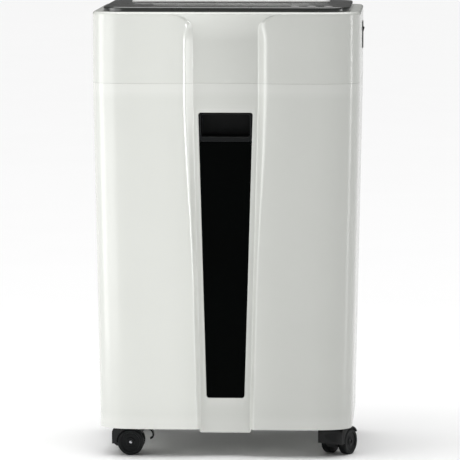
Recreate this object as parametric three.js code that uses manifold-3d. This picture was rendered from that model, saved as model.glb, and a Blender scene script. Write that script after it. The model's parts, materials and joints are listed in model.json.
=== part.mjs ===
// Office paper shredder with a pull-out waste bin, on four twin-wheel casters.
// Millimetres, +Z up, X to the right, the front faces -Y.
// The origin is on the floor under the middle of the body.

import * as THREE from 'three';
import { mergeVertices } from 'three/addons/utils/BufferGeometryUtils.js';
import Module from 'manifold-3d';

const wasm = await Module();
wasm.setup();

// ---------------------------------------------------------------- driving dimensions

const GAP = 0.3;                    // clearance between pieces that touch
const WALL = 4;                     // moulded panel thickness

const HEAD_HALF = 192.5;             // half the width of the cutting head
const FOOT_HALF = 182.5;            // half the width at the bottom of the cabinet
const FRONT_Y = -150;
const BACK_Y = 150;
const WRAP_Y = -93;                 // where the bin front meets the cabinet sides
const BACK_WRAP_Y = 124;            // where the back panel meets the cabinet sides
const FRONT_CORNER = 52;            // depth over which the front corners round off
const BACK_CORNER = 22;

const CABINET_BOTTOM = 42;
const SEAM_Z = 540;                 // seam between the bin front and the head
const SEAM = 0.6;
const CABINET_TOP = SEAM_Z - SEAM / 2;
const HEAD_BOTTOM = SEAM_Z + SEAM / 2;
const HEAD_TOP = 642;

const CHANNEL_DEPTH = 14;           // recessed channel down the middle of the front
const CHANNEL_HALF_TOP = 46.8;
const CHANNEL_HALF_BOTTOM = 35;
const CHANNEL_TAPER_Z = 516;        // the channel has parallel sides above this height
const CHANNEL_WALL_TOP = 11.5;      // width of the sloping wall from the channel up to a lobe
const CHANNEL_WALL_BOTTOM = 5;
const CHANNEL_WALL_Z = 260;         // the wall has its bottom width below this height
const LOBE_WIDTH = 70;              // from the channel's edge to a lobe's crest
const LOBE_SAG = 2.5;               // how far a lobe falls back from its crest to the wall
const LOBE_POWER = 3;               // squareness of the lobes' rounding
const EDGE_BLEND = 3;               // softness of the edge between a lobe and the wall
const SCOOP_BOTTOM = 617;           // the channel's floor comes forward above this height
const SCOOP_TOP = 638;
const SCOOP_REST = 0.5;             // channel depth left at the very top
const TONGUE_BOTTOM = 36;
const TOP_EDGE_ROUND = 4;

const WINDOW_BOTTOM = 86;
const WINDOW_TOP = 498;
const WINDOW_HALF_BOTTOM = 27.5;
const WINDOW_HALF_TOP = 39;
const WINDOW_CORNER = 4;
const GRIP_LIP_BOTTOM = 456;
const GRIP_LIP_TOP = 463;

const HEAD_SPLIT_Y = -55;           // joint between the head's front and rear shells
const SHELL = 3.5;
const LEDGE = 24;                   // the shells turn in by this much at the top
const LEDGE_THICK = 3.5;
const RIM_CORNER = 30;              // corner radius of the opening inside the ledge
const FAR = 300;                    // beyond the body on every side

const COVER_HALF = 177.5;
const COVER_FRONT = -134;
const COVER_BACK = 134;
const COVER_CORNER = 36;
const COVER_BOTTOM = HEAD_TOP + GAP;
const COVER_TOP = 648.8;
const COVER_SKIN = 2.5;

const PAPER_Y = 48;                 // the paper falls in this plane
const SLOT_HALF = 111;
const SLOT_WIDTH = 7;
const HOOD_TIER_HALF = 145;
const HOOD_TIER_DEPTH = 34;         // half the depth of the hood's lower tier
const HOOD_DEPTH = 24;
const HOOD_HALF = 114.5;
const HOOD_TIER_TOP = 652.4;
const HOOD_TIER_CORNER = 14;
const HOOD_CORNER = 3;
const HOOD_TOP = 657.8;
const MOUTH_HALF = 11;              // the slot's mouth flares out to this half width
const MOUTH_DEPTH = 5;

const SHAFT_Z = 590;
const SHAFT_R = 6;
const CUTTER_SPACING = 38;
const DISC_R = 22;
const SPACER_R = 12;
const DISC_WIDTH = 8.4;
const DISC_PITCH = 18;
const ROLLER_HALF = 113;            // half the length of the rollers between the side plates
const SHAFT_END = 128;
const FRONT_SHAFT_END = -154;       // the front shaft's left end carries the final gear
const REAR_SHAFT_END = -133;
const FRONT_DISCS = 13;
const REAR_DISCS = FRONT_DISCS - 1;
const PLATE_X = 117;
const PLATE_THICK = 3;
const DECK_BOTTOM = 526;
const DECK_TOP = 532;

const SYNC_TEETH = 16;
const SYNC_MODULE = CUTTER_SPACING / SYNC_TEETH;
const FINAL_TEETH = 36;
const IDLER_SMALL_TEETH = 12;
const FINAL_MODULE = 1.75;
const IDLER_LARGE_TEETH = 48;
const PINION_TEETH = 10;
const PINION_MODULE = 1.25;
const IDLER_ANGLE = THREE.MathUtils.degToRad(192);
const MOTOR_ANGLE = THREE.MathUtils.degToRad(160);

const WHEEL_R = 19;
const WHEEL_WIDTH = 12;
const WHEEL_INNER = 8;              // from the caster's middle plane to a wheel
const TRAIL = 17;
const STEM_X = 155;
const FRONT_STEM_Y = -105;
const REAR_STEM_Y = 108;
const STEM_R = 5;

const REAR_SHAFT_Y = PAPER_Y + CUTTER_SPACING / 2;
const FRONT_SHAFT_Y = PAPER_Y - CUTTER_SPACING / 2;
const IDLER_DISTANCE = FINAL_MODULE * (FINAL_TEETH + IDLER_SMALL_TEETH) / 2;
const IDLER_Y = FRONT_SHAFT_Y + IDLER_DISTANCE * Math.cos(IDLER_ANGLE);
const IDLER_Z = SHAFT_Z + IDLER_DISTANCE * Math.sin(IDLER_ANGLE);
const MOTOR_DISTANCE = PINION_MODULE * (IDLER_LARGE_TEETH + PINION_TEETH) / 2;
const MOTOR_Y = IDLER_Y + MOTOR_DISTANCE * Math.cos(MOTOR_ANGLE);
const MOTOR_Z = IDLER_Z + MOTOR_DISTANCE * Math.sin(MOTOR_ANGLE);

// ---------------------------------------------------------------- materials

function material(color, roughness, metalness = 0) {
  return new THREE.MeshStandardMaterial({ color, roughness, metalness });
}

const MATERIALS = {
  white: material('#dcddd8', 0.22),
  graphite: material('#3b3d3b', 0.3, 0.3),
  hood: material('#d5d5d3', 0.35),
  smoked: material('#060807', 0.08),
  black: material('#15191a', 0.45),
  wheel: material('#111516', 0.5),
  steel: material('#9b9fa2', 0.35, 0.9),
  blade: material('#77797b', 0.3, 0.95),
  bin: material('#2b2d2e', 0.55),
  board: material('#1f5a3c', 0.5),
  copper: material('#7d8287', 0.4, 0.7),
  nylon: material('#e6e2d6', 0.5),
  lens: material('#49c274', 0.15),
};

// ---------------------------------------------------------------- solids and placing

// A closed three.js geometry as a solid that can be joined and cut.
function solid(geometry) {
  geometry.deleteAttribute('normal');
  geometry.deleteAttribute('uv');
  const merged = mergeVertices(geometry, 1e-4);
  const corners = Array.from(merged.index.array);
  const triangles = [];
  for (let i = 0; i < corners.length; i += 3) {
    const [a, b, c] = corners.slice(i, i + 3);
    if (a !== b && b !== c && c !== a) {
      triangles.push(a, b, c);
    }
  }
  return new wasm.Manifold(new wasm.Mesh({
    numProp: 3,
    vertProperties: Float32Array.from(merged.attributes.position.array),
    triVerts: Uint32Array.from(triangles),
  }));
}

function meshOf(name, shape, look) {
  const result = shape.getMesh();
  const geometry = new THREE.BufferGeometry();
  const positions = Float32Array.from(result.vertProperties);
  geometry.setAttribute('position', new THREE.BufferAttribute(positions, 3));
  geometry.setIndex(Array.from(result.triVerts));
  geometry.computeVertexNormals();
  const mesh = new THREE.Mesh(geometry, look.clone());
  mesh.name = name;
  return mesh;
}

function box(x0, x1, y0, y1, z0, z1) {
  const geometry = new THREE.BoxGeometry(x1 - x0, y1 - y0, z1 - z0);
  geometry.translate((x0 + x1) / 2, (y0 + y1) / 2, (z0 + z1) / 2);
  return solid(geometry);
}

// The axes that a flat outline and its extrusion take in the model.
const AXES = {
  x: new THREE.Matrix4().makeBasis(
    new THREE.Vector3(0, 1, 0), new THREE.Vector3(0, 0, 1), new THREE.Vector3(1, 0, 0)),
  y: new THREE.Matrix4().makeBasis(
    new THREE.Vector3(-1, 0, 0), new THREE.Vector3(0, 0, 1), new THREE.Vector3(0, 1, 0)),
  z: new THREE.Matrix4(),
};

// An outline extruded along an axis. Outlines are (y, z) for x, (-x, z) for y and (x, y) for z.
function prism(axis, outline, from, to, curveSegments = 6) {
  const shape = outline instanceof THREE.Shape ? outline : new THREE.Shape(outline);
  const geometry = new THREE.ExtrudeGeometry(shape, { depth: to - from, bevelEnabled: false, curveSegments });
  geometry.translate(0, 0, from);
  geometry.applyMatrix4(AXES[axis]);
  return solid(geometry);
}

// A round bar along an axis through the point (a, b) of the other two, in model order.
function rod(axis, radius, from, to, a, b, sides = 12) {
  const geometry = new THREE.CylinderGeometry(radius, radius, to - from, sides);
  const middle = (from + to) / 2;
  if (axis === 'x') {
    geometry.rotateZ(-Math.PI / 2);
    geometry.translate(middle, a, b);
  } else if (axis === 'y') {
    geometry.translate(a, middle, b);
  } else {
    geometry.rotateX(Math.PI / 2);
    geometry.translate(a, b, middle);
  }
  return solid(geometry);
}

// A turned piece along +X from a list of [radius, x] points.
function turnedX(profile, sides, y = 0, z = 0) {
  const points = profile.map(([radius, x]) => new THREE.Vector2(radius, x));
  const geometry = new THREE.LatheGeometry(points, sides);
  geometry.rotateZ(-Math.PI / 2);
  geometry.translate(0, y, z);
  return uprightSolid(geometry);
}

// A turned solid, turned inside out first if its profile ran the other way round.
function uprightSolid(geometry) {
  const shape = solid(geometry);
  if (shape.volume() > 0) {
    return shape;
  }
  const flipped = geometry.clone();
  const index = Array.from(flipped.index.array);
  for (let i = 0; i < index.length; i += 3) {
    [index[i + 1], index[i + 2]] = [index[i + 2], index[i + 1]];
  }
  flipped.setIndex(index);
  return solid(flipped);
}

function roundedRect(x0, x1, y0, y1, radius) {
  const shape = new THREE.Shape();
  shape.moveTo(x0 + radius, y0);
  shape.lineTo(x1 - radius, y0);
  shape.absarc(x1 - radius, y0 + radius, radius, -Math.PI / 2, 0);
  shape.lineTo(x1, y1 - radius);
  shape.absarc(x1 - radius, y1 - radius, radius, 0, Math.PI / 2);
  shape.lineTo(x0 + radius, y1);
  shape.absarc(x0 + radius, y1 - radius, radius, Math.PI / 2, Math.PI);
  shape.lineTo(x0, y0 + radius);
  shape.absarc(x0 + radius, y0 + radius, radius, Math.PI, Math.PI * 1.5);
  return shape;
}

// A solid through closed rings of [x, y] points, one ring at each height.
function loft(levels) {
  const count = levels[0].ring.length;
  const vertices = levels.flatMap(({ z, ring }) => ring.flatMap(([x, y]) => [x, y, z]));
  const triangles = [];
  for (let level = 0; level + 1 < levels.length; level += 1) {
    for (let i = 0; i < count; i += 1) {
      const a = level * count + i;
      const b = level * count + (i + 1) % count;
      triangles.push(a, b, b + count, a, b + count, a + count);
    }
  }
  const caps = [[levels[0].ring, 0, true], [levels.at(-1).ring, (levels.length - 1) * count, false]];
  for (const [ring, start, flip] of caps) {
    const contour = ring.map(([x, y]) => new THREE.Vector2(x, y));
    for (const [a, b, c] of THREE.ShapeUtils.triangulateShape(contour, [])) {
      triangles.push(...(flip ? [a, c, b] : [a, b, c]).map((corner) => corner + start));
    }
  }
  const geometry = new THREE.BufferGeometry();
  geometry.setAttribute('position', new THREE.Float32BufferAttribute(vertices, 3));
  geometry.setIndex(triangles);
  return solid(geometry);
}

// ---------------------------------------------------------------- body outline

// A quarter of a superellipse: [along, depth] from its crest (0, 0) to its end (1, 1).
function roundOff(steps, power) {
  const points = [];
  for (let i = 0; i <= steps; i += 1) {
    const angle = (i / steps) * (Math.PI / 2);
    points.push([Math.sin(angle) ** (2 / power), 1 - Math.cos(angle) ** (2 / power)]);
  }
  return points;
}

// Half the width of the body at a height: the cabinet tapers, the head has upright sides.
function halfWidth(z) {
  const share = THREE.MathUtils.clamp((z - CABINET_BOTTOM) / (SEAM_Z - CABINET_BOTTOM), 0, 1);
  return THREE.MathUtils.lerp(FOOT_HALF, HEAD_HALF, share);
}

// The channel's half width, the width of its wall and the depth of its floor at a height.
function channelAt(z) {
  const taper = THREE.MathUtils.clamp((z - CABINET_BOTTOM) / (CHANNEL_TAPER_Z - CABINET_BOTTOM), 0, 1);
  const scoop = THREE.MathUtils.smoothstep(z, SCOOP_BOTTOM, SCOOP_TOP);
  return {
    half: THREE.MathUtils.lerp(CHANNEL_HALF_BOTTOM, CHANNEL_HALF_TOP, taper),
    wall: THREE.MathUtils.lerp(
      CHANNEL_WALL_BOTTOM, CHANNEL_WALL_TOP, THREE.MathUtils.smoothstep(z, CHANNEL_WALL_Z, CHANNEL_TAPER_Z)),
    floor: THREE.MathUtils.lerp(CHANNEL_DEPTH, SCOOP_REST, scoop),
  };
}

// How far a lobe lies behind the foremost plane, at x from the channel's edge to the crest.
function lobeDepth(x, { half, wall }) {
  const slope = (CHANNEL_DEPTH - LOBE_SAG) / wall;
  const onWall = CHANNEL_DEPTH - (x - half) * slope;
  const onLobe = LOBE_SAG * ((half + LOBE_WIDTH - x) / (LOBE_WIDTH - wall)) ** LOBE_POWER;
  const blend = Math.max(EDGE_BLEND - Math.abs(onWall - onLobe), 0) / EDGE_BLEND;
  return Math.max(onWall, onLobe) + (blend ** 2 * EDGE_BLEND) / 4;
}

// The x where the channel's floor meets the wall or, where it scoops forward, the lobe.
function channelEdge(channel) {
  let near = channel.half;
  let far = channel.half + LOBE_WIDTH;
  for (let i = 0; i < 30; i += 1) {
    const middle = (near + far) / 2;
    if (lobeDepth(middle, channel) > channel.floor) {
      near = middle;
    } else {
      far = middle;
    }
  }
  return near;
}

// The right half of the front, from the channel's edge round the lobe to the side, at wrapY.
function frontHalf(z, wrapY) {
  const side = halfWidth(z);
  const channel = channelAt(z);
  const edge = channelEdge(channel);
  const crest = channel.half + LOBE_WIDTH;
  const points = [[edge, FRONT_Y + channel.floor]];
  for (const share of [0.06, 0.12, 0.17, 0.22, 0.3, 0.45, 0.7, 1]) {
    const x = edge + share * (crest - edge);
    points.push([x, FRONT_Y + lobeDepth(x, channel)]);
  }
  for (const [along, deep] of roundOff(8, LOBE_POWER).slice(1)) {
    points.push([crest + along * (side - crest), FRONT_Y + deep * FRONT_CORNER]);
  }
  points.push([side, wrapY]);
  return points;
}

function mirrored(points) {
  return points.map(([x, y]) => [-x, y]).reverse();
}

// The whole front, from the left side round to the right side.
function frontPath(z, wrapY) {
  const half = frontHalf(z, wrapY);
  return [...mirrored(half), ...half];
}

// A path moved to its left by a distance, with mitred corners.
function offset(path, distance) {
  return path.map(([x, y], i) => {
    const normals = [];
    for (const [from, to] of [[path[i - 1], path[i]], [path[i], path[i + 1]]]) {
      if (from && to) {
        const length = Math.hypot(to[0] - from[0], to[1] - from[1]);
        normals.push([-(to[1] - from[1]) / length, (to[0] - from[0]) / length]);
      }
    }
    const nx = normals.reduce((sum, normal) => sum + normal[0], 0) / normals.length;
    const ny = normals.reduce((sum, normal) => sum + normal[1], 0) / normals.length;
    const share = distance / (nx * nx + ny * ny);
    return [x + nx * share, y + ny * share];
  });
}

function rectangle(x0, x1, y0, y1) {
  return [[x0, y0], [x1, y0], [x1, y1], [x0, y1]];
}

// A closed ring of wall thickness inside a path.
function wallRing(path, thickness) {
  return [...path, ...offset(path, thickness).reverse()];
}

// The back of the body from the right side round to the left side.
function backPath(z, wrapY) {
  const side = halfWidth(z);
  const half = roundOff(5, 2).map(([along, deep]) => [
    side - BACK_CORNER + along * BACK_CORNER,
    BACK_Y - deep * BACK_CORNER,
  ]);
  const right = [[side, wrapY], ...half.reverse()];
  return [...right, ...mirrored(right)];
}

// ---------------------------------------------------------------- cabinet

const PLATE_FRONT_Y = -127;         // the flat plates end behind the bin front's channel
const PLATE_CORNER_Y = -112;
const PLATE_CORNER_X = 34;          // width of the plates' cut front corners
const PLATE_STEP_X = 14;            // the plates narrow by this much inside the bin front
const PLATE_STEP_Y = 6;
const PLATE_BACK_Y = 141;

// The outline of a flat plate that fills the body where its inner half width is half.
function plateOutline(half) {
  const narrow = half - PLATE_STEP_X;
  const right = [
    [narrow - PLATE_CORNER_X, PLATE_FRONT_Y], [narrow, PLATE_CORNER_Y], [narrow, WRAP_Y - PLATE_STEP_Y],
    [half, WRAP_Y + PLATE_STEP_Y], [half, BACK_WRAP_Y], [half - BACK_CORNER, PLATE_BACK_Y],
  ];
  return [...right, ...mirrored(right)].map(([x, y]) => new THREE.Vector2(x, y));
}

const BASE_BOTTOM = 44;
const BASE_TOP = 50;
const BOSS_R = 10;                  // bosses that hold the casters' stems
const BOSS_BOTTOM = 46;
const BOSS_TOP = 66;
const STEM_TOP = 62;

function basePlate() {
  let plate = prism('z', plateOutline(FOOT_HALF - WALL - GAP), BASE_BOTTOM, BASE_TOP);
  for (const x of [-STEM_X, STEM_X]) {
    for (const y of [FRONT_STEM_Y, REAR_STEM_Y]) {
      plate = plate.add(rod('z', BOSS_R, BOSS_BOTTOM, BOSS_TOP, x, y));
      plate = plate.subtract(rod('z', STEM_R + GAP, BASE_BOTTOM - 4, STEM_TOP + 2, x, y));
    }
  }
  return plate;
}

const DECK_OPENING_HALF = 112;      // the shreds fall through this opening
const DECK_OPENING_DEPTH = 50;

function cabinetDeck() {
  const plate = prism('z', plateOutline(halfWidth(DECK_BOTTOM) - WALL - GAP), DECK_BOTTOM, DECK_TOP);
  return plate.subtract(box(
    -DECK_OPENING_HALF, DECK_OPENING_HALF,
    PAPER_Y - DECK_OPENING_DEPTH, PAPER_Y + DECK_OPENING_DEPTH, DECK_BOTTOM - 1, DECK_TOP + 1));
}

function sidePanel(side) {
  const levels = [CABINET_BOTTOM, CABINET_TOP].map((z) => {
    const outer = halfWidth(z) * side;
    const inner = outer - WALL * side;
    const [low, high] = [Math.min(outer, inner), Math.max(outer, inner)];
    return {
      z,
      ring: rectangle(low, high, WRAP_Y + GAP, BACK_WRAP_Y - GAP),
    };
  });
  return loft(levels);
}

function backPanel() {
  const levels = [CABINET_BOTTOM, CABINET_TOP];
  return loft(levels.map((z) => ({ z, ring: wallRing(backPath(z, BACK_WRAP_Y), WALL) })));
}

const RUNNER_INNER = 154;
const RUNNER_OUTER = 166;
const RUNNER_FRONT = -86;
const RUNNER_BACK = 120;
const RUNNER_BOTTOM = 70;
const RUNNER_TOP = 86;
const RUNNER_SKIN = 2;

// A steel channel, open towards the bin, that carries the bin's rib.
function runner(side) {
  const outer = box(RUNNER_INNER, RUNNER_OUTER, RUNNER_FRONT, RUNNER_BACK, RUNNER_BOTTOM, RUNNER_TOP);
  const groove = box(
    RUNNER_INNER - 1, RUNNER_OUTER - RUNNER_SKIN, RUNNER_FRONT - 1, RUNNER_BACK + 1,
    RUNNER_BOTTOM + RUNNER_SKIN, RUNNER_TOP - RUNNER_SKIN);
  const rail = outer.subtract(groove);
  return side > 0 ? rail : rail.mirror([1, 0, 0]);
}

// ---------------------------------------------------------------- bin

function windowOutline(bottom, top, clearance) {
  const slope = (WINDOW_HALF_TOP - WINDOW_HALF_BOTTOM) / (WINDOW_TOP - WINDOW_BOTTOM);
  const halfAt = (z) => WINDOW_HALF_BOTTOM + (z - WINDOW_BOTTOM) * slope - clearance;
  const low = halfAt(bottom);
  const high = halfAt(top);
  const r = WINDOW_CORNER;
  const inset = r * (1 - Math.SQRT1_2);
  const right = [
    [low - r, bottom], [low - inset, bottom + inset], [low, bottom + r],
    [high, top - r], [high - inset, top - inset], [high - r, top],
  ];
  return [...right, ...mirrored(right)].map(([x, z]) => new THREE.Vector2(x, z));
}

const CHANNEL_Y = FRONT_Y + CHANNEL_DEPTH;

function binFrontPanel() {
  const levels = [CABINET_BOTTOM, CHANNEL_WALL_Z, 350, 430, CHANNEL_TAPER_Z, CABINET_TOP];
  const shell = loft(levels.map((z) => ({ z, ring: wallRing(frontPath(z, WRAP_Y), WALL) })));
  const half = CHANNEL_HALF_BOTTOM - 1;
  const tongue = box(-half, half, CHANNEL_Y, CHANNEL_Y + WALL - 0.5, TONGUE_BOTTOM, CABINET_BOTTOM + 2);
  const opening = prism('y', windowOutline(WINDOW_BOTTOM, WINDOW_TOP, 0), CHANNEL_Y - 5, CHANNEL_Y + 8);
  return shell.add(tongue).subtract(opening);
}

function binWindow() {
  const outline = windowOutline(WINDOW_BOTTOM + GAP, GRIP_LIP_BOTTOM - GAP, GAP);
  return prism('y', outline, CHANNEL_Y + 1.4, CHANNEL_Y + WALL);
}

const GRIP_HALF = 35;
const GRIP_DEPTH = 32;
const GRIP_SKIN = 2.5;

// The dark pocket for the fingers; its thick lower lip closes the top of the window.
function gripPocket() {
  const outline = windowOutline(GRIP_LIP_BOTTOM, WINDOW_TOP - GAP, GAP);
  const block = prism('y', outline, CHANNEL_Y + 1, CHANNEL_Y + GRIP_DEPTH);
  return block.subtract(box(
    -GRIP_HALF, GRIP_HALF, CHANNEL_Y - 1, CHANNEL_Y + GRIP_DEPTH - GRIP_SKIN,
    GRIP_LIP_TOP, WINDOW_TOP - GAP - GRIP_SKIN));
}

const BIN_SKIN = 3;
const BIN_FOOT = { z: 56, half: 144, front: -124, back: 106 };
const BIN_RIM = { z: 440, half: 150, front: -128, back: 112 };
const BIN_LIP_HALF = 156;           // the turned-out lip round the bin's top
const BIN_LIP_BOTTOM = 434;
const BIN_LIP_TOP = 439;
const BIN_RIB_HALF = 161;           // outer edge of the ribs that slide in the runners
const BIN_RIB_BOTTOM = 76;
const BIN_RIB_TOP = 80;
const BIN_RIB_FRONT = -110;
const BIN_RIB_BACK = 100;
const SIGHT_HALF = 26;              // hole behind the window
const SIGHT_BOTTOM = 110;
const SIGHT_TOP = 420;

// One level of the bin's wall, drawn in by an inset.
function binLevel({ z, half, front, back }, inset, rise) {
  return { z: z + rise, ring: rectangle(inset - half, half - inset, front + inset, back - inset) };
}

// An open box with draft, a rib each side for the runners and a hole behind the window.
function wasteBin() {
  let bin = loft([binLevel(BIN_FOOT, 0, 0), binLevel(BIN_RIM, 0, 0)]);
  for (const [x0, x1] of [[-BIN_RIB_HALF, 2 - BIN_FOOT.half], [BIN_FOOT.half - 2, BIN_RIB_HALF]]) {
    bin = bin.add(box(x0, x1, BIN_RIB_FRONT, BIN_RIB_BACK, BIN_RIB_BOTTOM, BIN_RIB_TOP));
  }
  bin = bin.add(box(
    -BIN_LIP_HALF, BIN_LIP_HALF, BIN_RIM.front, BIN_RIM.back, BIN_LIP_BOTTOM, BIN_LIP_TOP));
  bin = bin.subtract(loft([binLevel(BIN_FOOT, BIN_SKIN, BIN_SKIN), binLevel(BIN_RIM, BIN_SKIN, 1)]));
  return bin.subtract(box(
    -SIGHT_HALF, SIGHT_HALF, BIN_RIM.front - 7, BIN_RIM.front + 16, SIGHT_BOTTOM, SIGHT_TOP));
}

// ---------------------------------------------------------------- cutting head shells

// The plan of the head at a height, moved inwards by an inset.
function headRing(z, inset) {
  return closedOffset([...frontPath(z, 0), ...backPath(z, 0).slice(1, -1)], inset);
}

const SCOOP_STEPS = 5;
const SCOOP_LEVELS = Array.from({ length: SCOOP_STEPS + 1 }, (_, i) => (
  THREE.MathUtils.lerp(SCOOP_BOTTOM, SCOOP_TOP, i / SCOOP_STEPS)));

// The outer block of the head, with its top edge rounded.
function headBlock() {
  const levels = [HEAD_BOTTOM, ...SCOOP_LEVELS].map((z) => ({ z, ring: headRing(z, 0) }));
  levels.push({ z: HEAD_TOP - TOP_EDGE_ROUND * 0.3, ring: headRing(HEAD_TOP, TOP_EDGE_ROUND * 0.3) });
  levels.push({ z: HEAD_TOP, ring: headRing(HEAD_TOP, TOP_EDGE_ROUND) });
  return loft(levels);
}

// A closed path moved inwards.
function closedOffset(path, distance) {
  const wrapped = [path.at(-1), ...path, path[0]];
  return offset(wrapped, distance).slice(1, -1);
}

function headHollow() {
  const levels = [{ z: SEAM_Z - 5, ring: headRing(SEAM_Z, SHELL) }];
  for (const z of [...SCOOP_LEVELS, HEAD_TOP - LEDGE_THICK]) {
    levels.push({ z, ring: headRing(z, SHELL) });
  }
  return loft(levels);
}

function headShell() {
  const rim = roundedRect(LEDGE - HEAD_HALF, HEAD_HALF - LEDGE, FRONT_Y + LEDGE, BACK_Y - LEDGE, RIM_CORNER);
  return headBlock().subtract(headHollow()).subtract(prism('z', rim, HEAD_TOP - 10, HEAD_TOP + 5));
}

function headFrontShell() {
  return headShell().intersect(box(-FAR, FAR, -FAR, HEAD_SPLIT_Y - 0.5, DECK_BOTTOM, HEAD_TOP + 1));
}

const ROCKER_Y = 60;
const ROCKER_Z = 601;
const ROCKER_HALF_WIDTH = 10;
const ROCKER_HALF_HEIGHT = 18;
const INLET_X = -150;
const INLET_Z = 566;
const INLET_HALF_WIDTH = 14;
const INLET_HALF_HEIGHT = 10.5;
const VENT_COUNT = 12;
const VENT_PITCH = 8;
const VENT_HALF_WIDTH = 1.5;
const VENT_X = 110;                 // the middle of the row of cooling slots
const VENT_BOTTOM = 568;
const VENT_TOP = 604;

// Upright cooling slots through the back of the head.
function ventSlots() {
  return Array.from({ length: VENT_COUNT }, (_, i) => {
    const x = VENT_X + (i - (VENT_COUNT - 1) / 2) * VENT_PITCH;
    return box(
      x - VENT_HALF_WIDTH, x + VENT_HALF_WIDTH, BACK_Y - 10, BACK_Y + 5, VENT_BOTTOM, VENT_TOP);
  });
}

function headRearShell() {
  const rear = headShell().intersect(box(-FAR, FAR, HEAD_SPLIT_Y + 0.5, FAR, DECK_BOTTOM, HEAD_TOP + 1));
  const rockerHole = box(
    HEAD_HALF - 10, HEAD_HALF + 5,
    ROCKER_Y - ROCKER_HALF_WIDTH, ROCKER_Y + ROCKER_HALF_WIDTH,
    ROCKER_Z - ROCKER_HALF_HEIGHT, ROCKER_Z + ROCKER_HALF_HEIGHT);
  const inletHole = box(
    INLET_X - INLET_HALF_WIDTH, INLET_X + INLET_HALF_WIDTH, BACK_Y - 10, BACK_Y + 5,
    INLET_Z - INLET_HALF_HEIGHT, INLET_Z + INLET_HALF_HEIGHT);
  return [rockerHole, inletHole, ...ventSlots()].reduce((shell, hole) => shell.subtract(hole), rear);
}

// ---------------------------------------------------------------- top cover, hood and controls

const BUTTON_Y = -98;
const BUTTON_R = 7;
const BUTTONS = { power_button: 146, forward_button: 122, reverse_button: 98 };
const LENS_X = 66;
const LENS_HALF_WIDTH = 9;
const LENS_HALF_DEPTH = 2;
const COVER_EDGE = 3;               // width of the plate's turned-down edge
const THROAT_HALF = 116;            // opening in the plate for the paper chute
const THROAT_DEPTH = 9;

// The plate's outline, drawn in by an inset.
function coverOutline(inset) {
  return roundedRect(
    inset - COVER_HALF, COVER_HALF - inset, COVER_FRONT + inset, COVER_BACK - inset, COVER_CORNER - inset);
}

function topCover() {
  let cover = prism('z', coverOutline(0), COVER_BOTTOM, COVER_TOP);
  cover = cover.subtract(prism('z', coverOutline(COVER_EDGE), COVER_BOTTOM - 1, COVER_TOP - COVER_SKIN));
  cover = cover.subtract(box(
    -THROAT_HALF, THROAT_HALF, PAPER_Y - THROAT_DEPTH, PAPER_Y + THROAT_DEPTH,
    COVER_BOTTOM - 1, COVER_TOP + 1));
  for (const x of Object.values(BUTTONS)) {
    cover = cover.subtract(rod('z', BUTTON_R + GAP, COVER_BOTTOM, COVER_TOP + 1, x, BUTTON_Y));
  }
  return cover.subtract(box(
    LENS_X - LENS_HALF_WIDTH, LENS_X + LENS_HALF_WIDTH,
    BUTTON_Y - LENS_HALF_DEPTH, BUTTON_Y + LENS_HALF_DEPTH, COVER_BOTTOM, COVER_TOP + 1));
}

function feedHood() {
  const tier = roundedRect(
    -HOOD_TIER_HALF, HOOD_TIER_HALF, PAPER_Y - HOOD_TIER_DEPTH, PAPER_Y + HOOD_TIER_DEPTH,
    HOOD_TIER_CORNER);
  const crown = roundedRect(
    -HOOD_HALF, HOOD_HALF, PAPER_Y - HOOD_DEPTH, PAPER_Y + HOOD_DEPTH, HOOD_CORNER);
  const hood = prism('z', tier, COVER_TOP + GAP, HOOD_TIER_TOP)
    .add(prism('z', crown, COVER_TOP + 1, HOOD_TOP));
  const half = SLOT_WIDTH / 2;
  const mouth = prism('x', [
    [PAPER_Y - MOUTH_HALF, HOOD_TOP + 1], [PAPER_Y - half, HOOD_TOP - MOUTH_DEPTH],
    [PAPER_Y - half, COVER_TOP - 1], [PAPER_Y + half, COVER_TOP - 1],
    [PAPER_Y + half, HOOD_TOP - MOUTH_DEPTH], [PAPER_Y + MOUTH_HALF, HOOD_TOP + 1],
  ].map(([y, z]) => new THREE.Vector2(y, z)), -SLOT_HALF, SLOT_HALF);
  return hood.subtract(mouth);
}

const CHUTE_SKIN = 3;
const CHUTE_BOTTOM = 616;

// The chute that leads paper from the slot down to the cutters.
function throatGuide() {
  const half = SLOT_WIDTH / 2;
  const outer = box(
    -SLOT_HALF - CHUTE_SKIN, SLOT_HALF + CHUTE_SKIN,
    PAPER_Y - half - CHUTE_SKIN, PAPER_Y + half + CHUTE_SKIN, CHUTE_BOTTOM, COVER_TOP);
  return outer.subtract(box(
    -SLOT_HALF, SLOT_HALF, PAPER_Y - half, PAPER_Y + half, CHUTE_BOTTOM - 1, COVER_TOP + 1));
}

function button(x) {
  const cap = rod('z', BUTTON_R, COVER_BOTTOM + 2, COVER_TOP, x, BUTTON_Y);
  return cap.add(rod('z', BUTTON_R + 2, COVER_BOTTOM + 1, COVER_BOTTOM + 3.2, x, BUTTON_Y));
}

function indicatorLens() {
  return box(
    LENS_X - LENS_HALF_WIDTH + GAP, LENS_X + LENS_HALF_WIDTH - GAP,
    BUTTON_Y - LENS_HALF_DEPTH + GAP, BUTTON_Y + LENS_HALF_DEPTH - GAP, COVER_BOTTOM + 1, COVER_TOP);
}

const BEZEL_RIM = 2;                // the bezel's frame overlaps the shell by this much
const BEZEL_PROUD = 1.3;
const BEZEL_DEPTH = 18;
const BEZEL_SKIN_Y = 1.7;
const BEZEL_SKIN_Z = 2.7;

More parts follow.
